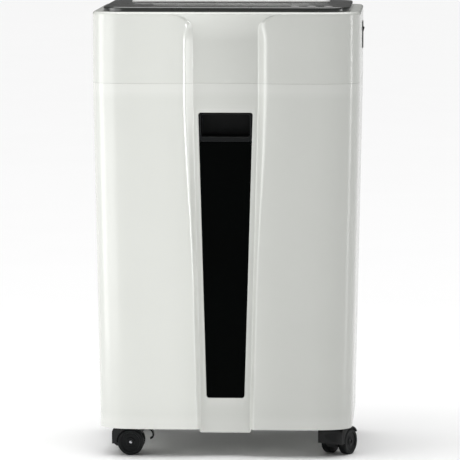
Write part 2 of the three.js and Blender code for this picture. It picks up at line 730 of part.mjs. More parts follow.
function rockerBezel() {
  const frame = box(
    HEAD_HALF + GAP, HEAD_HALF + BEZEL_PROUD,
    ROCKER_Y - ROCKER_HALF_WIDTH - BEZEL_RIM, ROCKER_Y + ROCKER_HALF_WIDTH + BEZEL_RIM,
    ROCKER_Z - ROCKER_HALF_HEIGHT - BEZEL_RIM, ROCKER_Z + ROCKER_HALF_HEIGHT + BEZEL_RIM);
  const tube = box(
    HEAD_HALF - BEZEL_DEPTH, HEAD_HALF + 1,
    ROCKER_Y - ROCKER_HALF_WIDTH + GAP, ROCKER_Y + ROCKER_HALF_WIDTH - GAP,
    ROCKER_Z - ROCKER_HALF_HEIGHT + GAP, ROCKER_Z + ROCKER_HALF_HEIGHT - GAP);
  const halfY = ROCKER_HALF_WIDTH - GAP - BEZEL_SKIN_Y;
  const halfZ = ROCKER_HALF_HEIGHT - GAP - BEZEL_SKIN_Z;
  const hollow = box(
    HEAD_HALF - BEZEL_DEPTH + 1.5, HEAD_HALF + 5,
    ROCKER_Y - halfY, ROCKER_Y + halfY, ROCKER_Z - halfZ, ROCKER_Z + halfZ);
  return frame.add(tube).subtract(hollow);
}

const ROCKER_PIVOT_X = HEAD_HALF - 7.5;
const ROCKER_R = 14.6;
const ROCKER_WIDTH = 15;

// The rocker's ends are arcs about its pivot, so it tips without touching its bezel.
function powerRocker() {
  const outline = [];
  const arc = (from, to) => {
    for (let step = 0; step <= 4; step += 1) {
      const angle = THREE.MathUtils.degToRad(THREE.MathUtils.lerp(from, to, step / 4));
      const x = Math.max(ROCKER_PIVOT_X + ROCKER_R * Math.cos(angle), ROCKER_PIVOT_X - 5);
      outline.push(new THREE.Vector2(-x, ROCKER_Z + ROCKER_R * Math.sin(angle)));
    }
  };
  arc(-57, -110);
  arc(110, 43);
  outline.push(new THREE.Vector2(-(ROCKER_PIVOT_X + 8), ROCKER_Z));
  return prism('y', outline, ROCKER_Y - ROCKER_WIDTH / 2, ROCKER_Y + ROCKER_WIDTH / 2);
}

function powerInlet() {
  const outerFace = BACK_Y - GAP;
  const shell = box(
    INLET_X - INLET_HALF_WIDTH + GAP, INLET_X + INLET_HALF_WIDTH - GAP, outerFace - 20, outerFace,
    INLET_Z - INLET_HALF_HEIGHT + GAP, INLET_Z + INLET_HALF_HEIGHT - GAP);
  let inlet = shell.subtract(box(
    INLET_X - 11.5, INLET_X + 11.5, outerFace - 16, outerFace + 1, INLET_Z - 8, INLET_Z + 8));
  for (const [x, z] of [[-7, -2], [0, 3], [7, -2]]) {
    inlet = inlet.add(box(
      INLET_X + x - 1, INLET_X + x + 1, outerFace - 17, outerFace - 7, INLET_Z + z - 2, INLET_Z + z + 2));
  }
  return inlet;
}

const BOARD_FACE_Y = -58.4;         // the components stand on this side of the board
const BOARD_THICK = 1.6;
const COMPONENTS = [                // relay, transformer and connector: x, z and height
  { x: [134, 150], z: [556, 572], height: 16.4 },
  { x: [156, 172], z: [590, 610], height: 12.4 },
  { x: [134, 142], z: [600, 622], height: 8.4 },
];

function controlBoard() {
  const plate = box(128, 180, BOARD_FACE_Y - BOARD_THICK, BOARD_FACE_Y, 550, 632);
  return COMPONENTS.reduce((board, { x, z, height }) => (
    board.add(box(...x, BOARD_FACE_Y - 0.1, BOARD_FACE_Y + height, ...z))), plate);
}

const CAPACITOR = { radius: 16, height: 62, x: 158, y: 104 };

function capacitor() {
  const { radius, height, x, y } = CAPACITOR;
  return rod('z', radius, DECK_TOP + GAP, DECK_TOP + height, x, y);
}

const SWITCH_FRONT = 128;           // the switch sits on the back panel's inner face
const SWITCH_BACK = 145.5;
const SWITCH_BOTTOM = 300;
const SWITCH_TOP = 310;

// A small box with a sprung lever that the closed bin would press.
function binSwitch() {
  const body = box(-14, 14, SWITCH_FRONT, SWITCH_BACK, SWITCH_BOTTOM, SWITCH_TOP);
  const lever = [
    [SWITCH_FRONT + 1, SWITCH_TOP - 2], [SWITCH_FRONT - 8, SWITCH_TOP + 6.6],
    [SWITCH_FRONT - 8, SWITCH_TOP + 8], [SWITCH_FRONT + 1, SWITCH_TOP],
  ];
  return body.add(prism('x', lever.map(([y, z]) => new THREE.Vector2(y, z)), -3, 3));
}

// ---------------------------------------------------------------- cutting mechanism

// A gear blank with straight-sided teeth; the first tooth points at phase.
function gearOutline(teeth, module, phase) {
  const pitchR = teeth * module / 2;
  const pitch = 2 * Math.PI / teeth;
  const tooth = [
    [-0.29, pitchR - 1.15 * module], [-0.12, pitchR + 0.8 * module],
    [0.12, pitchR + 0.8 * module], [0.29, pitchR - 1.15 * module],
  ];
  const points = [];
  for (let i = 0; i < teeth; i += 1) {
    for (const [share, radius] of tooth) {
      const angle = phase + (i + share) * pitch;
      points.push(new THREE.Vector2(radius * Math.cos(angle), radius * Math.sin(angle)));
    }
  }
  return points;
}

function gear(teeth, module, phase, from, to, bore, y, z) {
  const wheel = prism('x', gearOutline(teeth, module, phase), from, to).translate([0, y, z]);
  return wheel.subtract(rod('x', bore, from - 1, to + 1, y, z));
}

// Places along a shaft for a row of discs or fingers about the middle.
function alongShaft(count) {
  return Array.from({ length: count }, (_, i) => (i - (count - 1) / 2) * DISC_PITCH);
}

// One shaft with its cutting discs; the discs of the other shaft run in the gaps.
function cutter(y, discs, gearEnd) {
  const profile = [[0, gearEnd], [SHAFT_R, gearEnd], [SHAFT_R, -ROLLER_HALF], [SPACER_R, -ROLLER_HALF]];
  for (const x of alongShaft(discs)) {
    profile.push([SPACER_R, x - DISC_WIDTH / 2], [DISC_R, x - DISC_WIDTH / 2]);
    profile.push([DISC_R, x + DISC_WIDTH / 2], [SPACER_R, x + DISC_WIDTH / 2]);
  }
  profile.push([SPACER_R, ROLLER_HALF], [SHAFT_R, ROLLER_HALF], [SHAFT_R, SHAFT_END], [0, SHAFT_END]);
  return turnedX(profile, 12, y, SHAFT_Z);
}

const COMB_THICK = 4;
const COMB_BAR = 5;
const FINGER_WIDTH = 7.6;

// A comb whose fingers reach between the discs and strip the shreds off.
function stripper(shaftY, outward, fingers) {
  const bar = shaftY + outward * (DISC_R + 1);
  const reach = shaftY + outward * (SPACER_R + 1);
  const bottom = SHAFT_Z - COMB_THICK;
  const span = (a, b) => [Math.min(a, b), Math.max(a, b)];
  let comb = box(-PLATE_X + GAP, PLATE_X - GAP, ...span(bar, bar + outward * COMB_BAR), bottom, SHAFT_Z);
  for (const x of alongShaft(fingers)) {
    const finger = [x - FINGER_WIDTH / 2, x + FINGER_WIDTH / 2];
    comb = comb.add(box(...finger, ...span(reach, bar + outward), bottom, SHAFT_Z));
  }
  return comb;
}

const LEFT_PLATE_FRONT = -84;       // the left plate reaches forward to carry the motor
const RIGHT_PLATE_FRONT = PAPER_Y - 59;
const SIDE_PLATE_BACK = PAPER_Y + 47;
const SIDE_PLATE_TOP = 626;
const SIDE_PLATE_CORNER = 6;
const MOTOR_NOSE_R = 9;             // hole in the left side plate for the motor's nose

function sidePlate(side, frontEdge) {
  const outline = roundedRect(
    frontEdge, SIDE_PLATE_BACK, DECK_TOP + GAP, SIDE_PLATE_TOP, SIDE_PLATE_CORNER);
  const [x0, x1] = side > 0 ? [PLATE_X, PLATE_X + PLATE_THICK] : [-PLATE_X - PLATE_THICK, -PLATE_X];
  let plate = prism('x', outline, x0, x1, 3);
  for (const y of [FRONT_SHAFT_Y, REAR_SHAFT_Y]) {
    plate = plate.subtract(rod('x', SHAFT_R + GAP, x0 - 1, x1 + 1, y, SHAFT_Z));
  }
  if (side < 0) {
    plate = plate.subtract(rod('x', MOTOR_NOSE_R, x0 - 1, x1 + 1, MOTOR_Y, MOTOR_Z));
  }
  return plate;
}

// The pair of equal gears that turn the two cutters against each other.
function syncGear(y, phase) {
  return gear(SYNC_TEETH, SYNC_MODULE, phase, -131, -125, SHAFT_R + GAP, y, SHAFT_Z);
}

function finalGear() {
  return gear(
    FINAL_TEETH, FINAL_MODULE, IDLER_ANGLE, -151.5, -143.5, SHAFT_R + GAP, FRONT_SHAFT_Y, SHAFT_Z);
}

const TIE_ROD_R = 4;
const TIE_ROD_Z = 548;

function tieRod(y) {
  return rod('x', TIE_ROD_R, GAP - PLATE_X, PLATE_X - GAP, y, TIE_ROD_Z);
}

const AXLE_R = 4;                   // the idler's axle and the motor's shaft
const IDLER_HUB_R = 8;
const MOTOR_TRAIN = [-140.4, -134.6];    // the x range of the gears next to the side plate
const FINAL_TRAIN = [-151.4, -143.6];    // and of the outer pair

// Two gears on one hub: the large one meets the pinion, the small one the final gear.
function idlerGear() {
  const bore = AXLE_R + GAP;
  const phase = IDLER_ANGLE + Math.PI + Math.PI / IDLER_SMALL_TEETH;
  const large = gear(IDLER_LARGE_TEETH, PINION_MODULE, MOTOR_ANGLE, ...MOTOR_TRAIN, bore, IDLER_Y, IDLER_Z);
  const small = gear(IDLER_SMALL_TEETH, FINAL_MODULE, phase, ...FINAL_TRAIN, bore, IDLER_Y, IDLER_Z);
  const hub = rod('x', IDLER_HUB_R, -144, -140, IDLER_Y, IDLER_Z);
  return large.add(small).add(hub).subtract(rod('x', bore, -160, -130, IDLER_Y, IDLER_Z));
}

const MOTOR_R = 33;
const MOTOR_CAP_R = 29;
const MOTOR_LEFT = -116.6;
const MOTOR_RIGHT = -24;

function motorCan() {
  const bore = AXLE_R + 0.4;
  return turnedX([
    [bore, MOTOR_LEFT], [MOTOR_R - 3, MOTOR_LEFT], [MOTOR_R, MOTOR_LEFT + 3.6], [MOTOR_R, MOTOR_RIGHT - 16],
    [MOTOR_CAP_R, MOTOR_RIGHT - 4], [MOTOR_CAP_R, MOTOR_RIGHT], [bore, MOTOR_RIGHT], [bore, MOTOR_LEFT],
  ], 16, MOTOR_Y, MOTOR_Z);
}

// The motor's shaft with the pinion's teeth at its left end.
function motorPinion() {
  const phase = MOTOR_ANGLE + Math.PI + Math.PI / PINION_TEETH;
  const teeth = prism('x', gearOutline(PINION_TEETH, PINION_MODULE, phase), -141, -134);
  return teeth.translate([0, MOTOR_Y, MOTOR_Z]).add(rod('x', AXLE_R, -140, -9, MOTOR_Y, MOTOR_Z));
}

const FAN_BLADES = 6;
const FAN_R = 28;
const FAN_HUB_R = 9;

function coolingFan() {
  let fan = rod('x', FAN_HUB_R, -21, -11, 0, 0);
  const blade = box(-20, -12, FAN_HUB_R - 2, FAN_R, -1.2, 1.2);
  for (let i = 0; i < FAN_BLADES; i += 1) {
    fan = fan.add(blade.rotate([(i * 360) / FAN_BLADES, 0, 0]));
  }
  return fan.subtract(rod('x', AXLE_R + GAP, -30, 0, 0, 0)).translate([0, MOTOR_Y, MOTOR_Z]);
}

// ---------------------------------------------------------------- casters

const HOOD_FRONT = 10;              // from the stem's axis to the caster hood's nose
const HOOD_NOSE_R = 8;
const HOOD_CROWN_Z = 41;
const FENDER_R = 22.1;
const FENDER_HALF = 20;
const FENDER_START = THREE.MathUtils.degToRad(95);
const FENDER_END = THREE.MathUtils.degToRad(142);
const WEB_HALF = WHEEL_INNER - 0.5; // half the thickness of the web between the wheels
const WHEEL_AXLE_R = 2.5;

// The outline over the wheels, seen from the side with the stem on the vertical axis.
function fenderOutline() {
  const noseZ = HOOD_CROWN_Z - HOOD_NOSE_R;
  const outline = new THREE.Shape();
  outline.moveTo(HOOD_FRONT, WHEEL_R - 2);
  outline.lineTo(HOOD_FRONT, noseZ);
  outline.absarc(HOOD_FRONT - HOOD_NOSE_R, noseZ, HOOD_NOSE_R, 0, Math.PI / 2);
  outline.lineTo(-TRAIL - 2, HOOD_CROWN_Z);
  outline.absarc(-TRAIL, WHEEL_R, FENDER_R, FENDER_START, FENDER_END);
  outline.lineTo(-TRAIL, WHEEL_R);
  return outline;
}

// The caster's parts stand in its own frame: the stem is on Z and the wheels trail along +X.
function casterHood() {
  const web = [
    [HOOD_FRONT, 17], [HOOD_FRONT, 33], [4, 40], [-TRAIL, 40.5], [-31, 34], [-24, 18], [-TRAIL, 12], [4, 12],
  ].map(([x, z]) => new THREE.Vector2(x, z));
  let hood = prism('y', fenderOutline(), -FENDER_HALF, FENDER_HALF, 5);
  for (const [from, to] of [[-FENDER_HALF - 1, -WEB_HALF], [WEB_HALF, FENDER_HALF + 1]]) {
    hood = hood.subtract(rod('y', WHEEL_R + 0.8, from, to, TRAIL, WHEEL_R, 24));
  }
  hood = hood.add(prism('y', web, -WEB_HALF, WEB_HALF));
  hood = hood.add(rod('z', STEM_R, 30, STEM_TOP, 0, 0));
  return hood.subtract(rod('y', WHEEL_AXLE_R + GAP, -9, 9, TRAIL, WHEEL_R));
}

const TREAD_CHAMFER = 1.4;
const HUB_R = 12.5;

function casterWheel(side) {
  const near = WHEEL_INNER;
  const far = WHEEL_INNER + WHEEL_WIDTH;
  const bore = WHEEL_AXLE_R + GAP;
  const shoulder = WHEEL_R - TREAD_CHAMFER;
  const wheel = turnedX([
    [bore, near], [shoulder, near], [WHEEL_R, near + TREAD_CHAMFER], [WHEEL_R, far - TREAD_CHAMFER],
    [shoulder, far], [HUB_R + 1, far], [HUB_R, far - 1.5], [bore, far - 1.5], [bore, near],
  ], 20).rotate([0, 0, 90 * side]);
  return wheel.translate([TRAIL, 0, WHEEL_R]);
}

function casterAxle() {
  return rod('y', WHEEL_AXLE_R, -18, 18, TRAIL, WHEEL_R);
}

const LEVER_THICK = 2.2;
const LEVER_HALF = 6.5;

// The foot tab of the brake: a hooked strip behind the hood.
function brakeLever() {
  const path = [[-32, 38.4], [-38, 39], [-46, 36.2], [-49.5, 31], [-49.2, 24.5], [-45, 21.5]];
  const strip = wallRing(path, LEVER_THICK).map(([x, z]) => new THREE.Vector2(x, z));
  return prism('y', strip.reverse(), -LEVER_HALF, LEVER_HALF);
}

const CASTERS = {
  front_left: { x: -STEM_X, y: FRONT_STEM_Y, turn: 0, brake: true },
  front_right: { x: STEM_X, y: FRONT_STEM_Y, turn: 62, brake: true },
  rear_left: { x: -STEM_X, y: REAR_STEM_Y, turn: 90, brake: false },
  rear_right: { x: STEM_X, y: REAR_STEM_Y, turn: 90, brake: false },
};

function caster(place, { x, y, turn, brake }) {
  const group = new THREE.Group();
  group.add(meshOf(`${place}_caster_hood`, casterHood(), MATERIALS.black));
  group.add(meshOf(`${place}_caster_axle`, casterAxle(), MATERIALS.steel));
  group.add(meshOf(`${place}_wheel_a`, casterWheel(1), MATERIALS.wheel));
  group.add(meshOf(`${place}_wheel_b`, casterWheel(-1), MATERIALS.wheel));
  if (brake) {
    group.add(meshOf(`${place}_brake_lever`, brakeLever(), MATERIALS.black));
  }
  group.position.set(x, y, 0);
  group.rotation.z = THREE.MathUtils.degToRad(turn);
  return group;
}

// ---------------------------------------------------------------- assembly

const PARTS = [
  ['base_plate', basePlate(), 'white'],
  ['left_side_panel', sidePanel(-1), 'white'],
  ['right_side_panel', sidePanel(1), 'white'],
  ['back_panel', backPanel(), 'white'],
  ['cabinet_deck', cabinetDeck(), 'black'],
  ['left_runner', runner(-1), 'steel'],
  ['right_runner', runner(1), 'steel'],
  ['bin_switch', binSwitch(), 'black'],
  ['bin_front_panel', binFrontPanel(), 'white'],
  ['bin_window', binWindow(), 'smoked'],
  ['grip_pocket', gripPocket(), 'black'],
  ['waste_bin', wasteBin(), 'bin'],
  ['head_front_shell', headFrontShell(), 'white'],
  ['head_rear_shell', headRearShell(), 'white'],
  ['top_cover', topCover(), 'graphite'],
  ['feed_hood', feedHood(), 'hood'],
  ['throat_guide', throatGuide(), 'black'],
  ['indicator_lens', indicatorLens(), 'lens'],
  ['rocker_bezel', rockerBezel(), 'black'],
  ['power_rocker', powerRocker(), 'black'],
  ['power_inlet', powerInlet(), 'black'],
  ['control_board', controlBoard(), 'board'],
  ['capacitor', capacitor(), 'copper'],
  ['left_side_plate', sidePlate(-1, LEFT_PLATE_FRONT), 'steel'],
  ['right_side_plate', sidePlate(1, RIGHT_PLATE_FRONT), 'steel'],
  ['front_cutter', cutter(FRONT_SHAFT_Y, FRONT_DISCS, FRONT_SHAFT_END), 'blade'],
  ['rear_cutter', cutter(REAR_SHAFT_Y, REAR_DISCS, REAR_SHAFT_END), 'blade'],
  ['front_stripper', stripper(FRONT_SHAFT_Y, -1, REAR_DISCS), 'black'],
  ['rear_stripper', stripper(REAR_SHAFT_Y, 1, FRONT_DISCS), 'black'],
  ['front_sync_gear', syncGear(FRONT_SHAFT_Y, 0), 'steel'],
  ['rear_sync_gear', syncGear(REAR_SHAFT_Y, Math.PI + Math.PI / SYNC_TEETH), 'steel'],
  ['final_gear', finalGear(), 'nylon'],
  ['idler_gear', idlerGear(), 'nylon'],
  ['idler_axle', rod('x', AXLE_R, -153, -PLATE_X - PLATE_THICK - GAP, IDLER_Y, IDLER_Z), 'steel'],
  ['motor_can', motorCan(), 'copper'],
  ['motor_pinion', motorPinion(), 'steel'],
  ['cooling_fan', coolingFan(), 'black'],
  ['front_tie_rod', tieRod(PAPER_Y - 52), 'steel'],
  ['rear_tie_rod', tieRod(PAPER_Y + 42), 'steel'],
];

const shredder = new THREE.Group();
for (const [name, shape, look] of PARTS) {
  shredder.add(meshOf(name, shape, MATERIALS[look]));
}
for (const [name, x] of Object.entries(BUTTONS)) {
  shredder.add(meshOf(name, button(x), MATERIALS.hood));
}
for (const [place, setup] of Object.entries(CASTERS)) {
  shredder.add(caster(place, setup));
}

export default shredder;
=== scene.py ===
"""Looks of the office paper shredder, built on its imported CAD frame.

Shapes are worked out in millimetres in the CAD's frame (+Z up, the front faces -Y) and turned
into metres when a mesh is made. Every piece rides on the CAD body of the part that it shows.
"""

import json
import math

import bmesh
import bpy
import numpy as np
from mathutils import Matrix, Vector

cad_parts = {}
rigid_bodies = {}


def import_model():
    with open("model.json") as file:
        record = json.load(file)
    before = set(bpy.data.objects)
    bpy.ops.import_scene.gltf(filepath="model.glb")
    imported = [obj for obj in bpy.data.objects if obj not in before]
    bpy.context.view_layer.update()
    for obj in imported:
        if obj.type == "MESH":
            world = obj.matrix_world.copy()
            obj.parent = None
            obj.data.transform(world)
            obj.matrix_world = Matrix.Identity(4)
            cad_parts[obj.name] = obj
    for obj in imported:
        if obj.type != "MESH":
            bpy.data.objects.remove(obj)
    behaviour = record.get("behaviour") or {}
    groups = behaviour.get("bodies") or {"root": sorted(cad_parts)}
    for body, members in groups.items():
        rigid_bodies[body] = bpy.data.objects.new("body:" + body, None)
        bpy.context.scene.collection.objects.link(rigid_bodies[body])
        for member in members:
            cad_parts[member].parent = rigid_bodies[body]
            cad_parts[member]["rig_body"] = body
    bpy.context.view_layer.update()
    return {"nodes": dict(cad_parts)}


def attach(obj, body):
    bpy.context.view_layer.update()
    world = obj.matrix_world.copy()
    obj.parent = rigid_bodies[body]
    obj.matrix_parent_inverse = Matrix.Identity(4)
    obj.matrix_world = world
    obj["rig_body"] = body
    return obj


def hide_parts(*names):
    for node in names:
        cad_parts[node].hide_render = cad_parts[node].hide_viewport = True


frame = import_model()

MM = 0.001

# ------------------------------------------------------------------ sizes, the CAD's own (mm)

HEAD_HALF = 192.5
FOOT_HALF = 182.5
FRONT_Y = -150
BACK_Y = 150
WRAP_Y = -93
BACK_WRAP_Y = 124
FRONT_CORNER = 52
BACK_CORNER = 22
CABINET_BOTTOM = 42
SEAM_Z = 540  # the head and the bin front meet here
CABINET_TOP = 539.9
HEAD_BOTTOM = 540.1
HEAD_TOP = 642
CHANNEL_DEPTH = 14
CHANNEL_Y = FRONT_Y + CHANNEL_DEPTH
CHANNEL_HALF = (35, 46.8)  # at the cabinet's foot and at CHANNEL_WIDE_Z
CHANNEL_WIDE_Z = 516
CHANNEL_WALL = (5, 11.5)  # the wall grows wider between these heights
CHANNEL_WALL_Z = (260, 516)
LOBE_WIDTH = 70
LOBE_SAG = 2.5  # how far the lobe falls back beside the channel
LOBE_POWER = 3  # of the curves of the lobe and the corner
TONGUE_BOTTOM = 36
HEAD_SPLIT_Y = -55
SPLIT_HALF = 0.5  # half the gap between the head's shells
WALL = 4
SHELL = 3.5
LEDGE = 24
RIM_CORNER = 30
COVER_HALF = 177.5
COVER_Y = (-134, 134)
COVER_CORNER = 36
COVER_Z = (642.3, 648.8)
PAPER_Y = 48
BUTTON_Y = -98
BUTTON_HOLE = 7.3
BUTTONS = {"power_button": 146, "forward_button": 122, "reverse_button": 98}
LENS_X = 66
ROCKER_Y = 60
ROCKER_Z = 601
INLET_X = -150
INLET_Z = 566
SHAFT_Z = 590
FRONT_SHAFT_Y = 29
REAR_SHAFT_Y = 67
DISC_PITCH = 18
WHEEL_R = 19
TRAIL = 17
CASTERS = {
    "front_left": (-155, -105, 0, True),
    "front_right": (155, -105, 62, True),
    "rear_left": (-155, 108, 90, False),
    "rear_right": (155, 108, 90, False),
}

# Finer than the CAD: roundings that it leaves out.
FLOOR_BLEND = 1.0  # softness of the corner between the channel's floor and its wall
EDGE_BLEND = 3.0
TOP_ROUND = 4.0
PANEL_BEVEL = 0.7
SEAM_BEVEL = 0.2  # the bin front and the head meet in a hair line
SCOOP_Z = (600, 640)  # the channel's floor comes forward between these heights
SCOOP_REST = 0.5  # depth that is left at the top
ARCH_Z = (617, 639.5)  # the channel's edge turns out between these heights
ARCH_REACH = 37
PANEL_ROWS = 20


# ------------------------------------------------------------------ meshes


def mesh_object(name, vertices, faces):
    """A mesh piece from points in mm, with its faces turned outwards."""
    mesh = bpy.data.meshes.new(name)
    mesh.from_pydata([Vector(point) * MM for point in vertices], [], faces)
    work = bmesh.new()
    work.from_mesh(mesh)
    bmesh.ops.remove_doubles(work, verts=work.verts, dist=1e-6)
    bmesh.ops.recalc_face_normals(work, faces=work.faces)
    work.to_mesh(mesh)
    work.free()
    piece = bpy.data.objects.new(name, mesh)
    bpy.context.scene.collection.objects.link(piece)
    return piece


def thick_sheet(name, outer, inner):
    """A closed sheet between two grids of points, each a list of rows."""
    rows, columns = len(outer), len(outer[0])
    points = [p for grid in (outer, inner) for row in grid for p in row]

    def at(side, row, column):
        return (side * rows + row) * columns + column

    faces = []
    for r in range(rows - 1):
        for c in range(columns - 1):
            for side in (0, 1):
                faces.append(
                    [at(side, r, c), at(side, r, c + 1), at(side, r + 1, c + 1), at(side, r + 1, c)]
                )
    edge = [(0, c) for c in range(columns)]
    edge += [(r, columns - 1) for r in range(1, rows)]
    edge += [(rows - 1, c) for c in reversed(range(columns - 1))]
    edge += [(r, 0) for r in reversed(range(1, rows - 1))]
    for a, b in zip(edge, edge[1:] + edge[:1]):
        faces.append([at(0, *a), at(0, *b), at(1, *b), at(1, *a)])
    return mesh_object(name, points, faces)


def loft(name, rings):
    """A solid through closed rings of points, with flat ends."""
    count = len(rings[0])
    points = [p for ring in rings for p in ring]
    faces = [list(range(count)), [(len(rings) - 1) * count + i for i in range(count)]]
    for k in range(len(rings) - 1):
        for i in range(count):
            j = (i + 1) % count
            faces.append([k * count + i, k * count + j, (k + 1) * count + j, (k + 1) * count + i])
    return mesh_object(name, points, faces)


ALONG = {
    "x": lambda a, b, t: (t, a, b),
    "y": lambda a, b, t: (a, t, b),
    "z": lambda a, b, t: (a, b, t),
}


def prism(name, axis, outline, start, end):
    """An outline of the other two axes' values, in model order, drawn out along an axis."""
    return loft(name, [[ALONG[axis](a, b, t) for a, b in outline] for t in (start, end)])


def turned(name, axis, profile, centre, sides=64):
    """A turned solid from a closed profile of (radius, distance along the axis)."""
    points, faces = [], []
    for radius, along in profile:
        for i in range(sides):
            angle = 2 * math.pi * i / sides
            a = centre[0] + radius * math.cos(angle)
            b = centre[1] + radius * math.sin(angle)
            points.append(ALONG[axis](a, b, along))
    for k in range(len(profile)):
        after = (k + 1) % len(profile)
        if profile[k][0] == 0 and profile[after][0] == 0:
            continue
        for i in range(sides):
            j = (i + 1) % sides
            faces.append([k * sides + i, k * sides + j, after * sides + j, after * sides + i])
    return mesh_object(name, points, faces)


def rounded_rect(a0, a1, b0, b1, radius, steps=12):
    """Points round a rectangle with rounded corners."""
    points = []
    corners = [(a1, b0, -90), (a1, b1, 0), (a0, b1, 90), (a0, b0, 180)]
    for a, b, start in corners:
        centre_a = a - math.copysign(radius, a - (a0 + a1) / 2)
        centre_b = b - math.copysign(radius, b - (b0 + b1) / 2)
        for i in range(steps + 1):
            angle = math.radians(start + 90 * i / steps)
            points.append((centre_a + radius * math.cos(angle), centre_b + radius * math.sin(angle)))
    return points


def apply_modifiers(piece):
    graph = bpy.context.evaluated_depsgraph_get()
    mesh = bpy.data.meshes.new_from_object(piece.evaluated_get(graph))
    piece.modifiers.clear()
    piece.data = mesh


def combine(piece, tools, operation="DIFFERENCE"):
    """Cuts the tools out of a piece, or joins them to it, and removes them."""
    for tool in tools:
        modifier = piece.modifiers.new("combine", "BOOLEAN")
        modifier.object = tool
        modifier.operation = operation
        modifier.solver = "EXACT"
    apply_modifiers(piece)
    for tool in tools:
        bpy.data.objects.remove(tool)
    return piece


def joined(name, parts):
    """Several meshes as one piece, for shapes that touch nowhere or are one moulding."""
    work = bmesh.new()
    for part in parts:
        work.from_mesh(part.data)
        bpy.data.objects.remove(part)
    mesh = bpy.data.meshes.new(name)
    work.to_mesh(mesh)
    work.free()
    piece = bpy.data.objects.new(name, mesh)
    bpy.context.scene.collection.objects.link(piece)
    return piece


def finish(piece, body, slot, replaces, bevel=0.5, segments=3, angle=32):
    """Rounds a piece's edges, gives it its slot's look and sets it on its CAD body."""
    for polygon in piece.data.polygons:
        polygon.use_smooth = True
    if bevel:
        modifier = piece.modifiers.new("Bevel", "BEVEL")
        modifier.width = bevel * MM
        modifier.segments = segments
        modifier.limit_method = "ANGLE"
        modifier.angle_limit = math.radians(angle)
        modifier.harden_normals = True
    piece.data.materials.clear()
    piece.data.materials.append(LOOKS[slot])
    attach(piece, body)
    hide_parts(*replaces)
    return piece


def from_cad(node, slot, bevel=0.4):
    """A welded copy of a CAD node with rounded edges, for the parts inside."""
    work = bmesh.new()
    work.from_mesh(frame["nodes"][node].data)
    bmesh.ops.remove_doubles(work, verts=work.verts, dist=1e-6)
    bmesh.ops.dissolve_limit(
        work, angle_limit=math.radians(1), verts=work.verts, edges=work.edges
    )
    mesh = bpy.data.meshes.new(node + "_detail")
    work.to_mesh(mesh)
    work.free()
    piece = bpy.data.objects.new(node + "_detail", mesh)
    bpy.context.scene.collection.objects.link(piece)
    body = frame["nodes"][node]["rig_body"]
    return finish(piece, body, slot, [node], bevel, segments=2)


# ------------------------------------------------------------------ body outline


def mix(a, b, share):
    return a + (b - a) * share


def clamp(value, low=0.0, high=1.0):
    return max(low, min(high, value))


def smoothstep(value, low, high):
    share = clamp((value - low) / (high - low))
    return share * share * (3 - 2 * share)


def half_width(z):
    """Half the width of the body: the cabinet tapers, the head's sides are upright."""
    return mix(FOOT_HALF, HEAD_HALF, clamp((z - CABINET_BOTTOM) / (SEAM_Z - CABINET_BOTTOM)))


def channel_at(z):
    """The channel at a height: its half width, the lobe's crest, its wall's width, its depth.

    Towards the head's top the floor scoops forward and the channel's edge turns out in an arch.
    """
    half = mix(*CHANNEL_HALF, clamp((z - CABINET_BOTTOM) / (CHANNEL_WIDE_Z - CABINET_BOTTOM)))
    turn = clamp((z - ARCH_Z[0]) / (ARCH_Z[1] - ARCH_Z[0]))
    scoop = clamp((z - SCOOP_Z[0]) / (SCOOP_Z[1] - SCOOP_Z[0]))
    return {
        "half": half + ARCH_REACH * (1 - math.sqrt(1 - turn * turn)),
        "crest": half + LOBE_WIDTH,
        "wall": mix(*CHANNEL_WALL, smoothstep(z, *CHANNEL_WALL_Z)),
        "floor": mix(CHANNEL_DEPTH, SCOOP_REST, scoop**2),
    }


def lobe_depth(x, channel):
    """How far a lobe lies behind the foremost plane, from the channel's edge to its crest."""
    slope = (CHANNEL_DEPTH - LOBE_SAG) / channel["wall"]
    on_wall = channel["floor"] - (x - channel["half"]) * slope
    reach = (channel["crest"] - x) / (LOBE_WIDTH - channel["wall"])
    on_lobe = LOBE_SAG * reach**LOBE_POWER
    blend = max(EDGE_BLEND - abs(on_wall - on_lobe), 0) / EDGE_BLEND
    return max(on_wall, on_lobe) + blend**2 * EDGE_BLEND / 4


def channel_edge(channel):
    """Where the channel's floor meets the lobe's wall, found by halving."""
    near, far = channel["half"], channel["crest"]
    for _ in range(30):
        middle = (near + far) / 2
        if lobe_depth(middle, channel) > channel["floor"]:
            near = middle
        else:
            far = middle
    return near


# Shares of the channel's half width, then distances over the lobe: close where it bends.
FLOOR_STEPS = (0, 0.25, 0.5, 0.7, 0.85, 0.92, 0.95, 0.97, 0.985, 1)
LOBE_STEPS = (1, 2, 3, 4, 5, 6, 7, 8, 9, 10, 11, 12, 13, 14.5, 16, 18, 20, 23, 27, 32, 38, 45, 53, 61, 70)
CORNER_STEPS = 22


def front_half(z, wrap_y):
    """The right half of the front, from its middle round the lobe to the side."""
    side = half_width(z)
    channel = channel_at(z)
    edge = channel_edge(channel)
    crest = channel["crest"]
    across = [edge * share for share in FLOOR_STEPS]
    across += [mix(edge, crest, step / LOBE_STEPS[-1]) for step in LOBE_STEPS]
    points = []
    for x in across:
        lobe, floor = lobe_depth(x, channel), channel["floor"]
        blend = max(FLOOR_BLEND - abs(lobe - floor), 0) / FLOOR_BLEND
        points.append((x, FRONT_Y + min(lobe, floor) - blend**2 * FLOOR_BLEND / 4))
    for i in range(1, CORNER_STEPS + 1):
        angle = math.pi / 2 * i / CORNER_STEPS
        along = math.sin(angle) ** (2 / LOBE_POWER)
        deep = 1 - math.cos(angle) ** (2 / LOBE_POWER)
        points.append((mix(crest, side, along), FRONT_Y + deep * FRONT_CORNER))
    points.append((side, wrap_y))
    return points


def front_path(z, wrap_y):
    """The whole front, from the left side round to the right side."""
    right = front_half(z, wrap_y)
    return [(-x, y) for x, y in reversed(right[1:])] + right


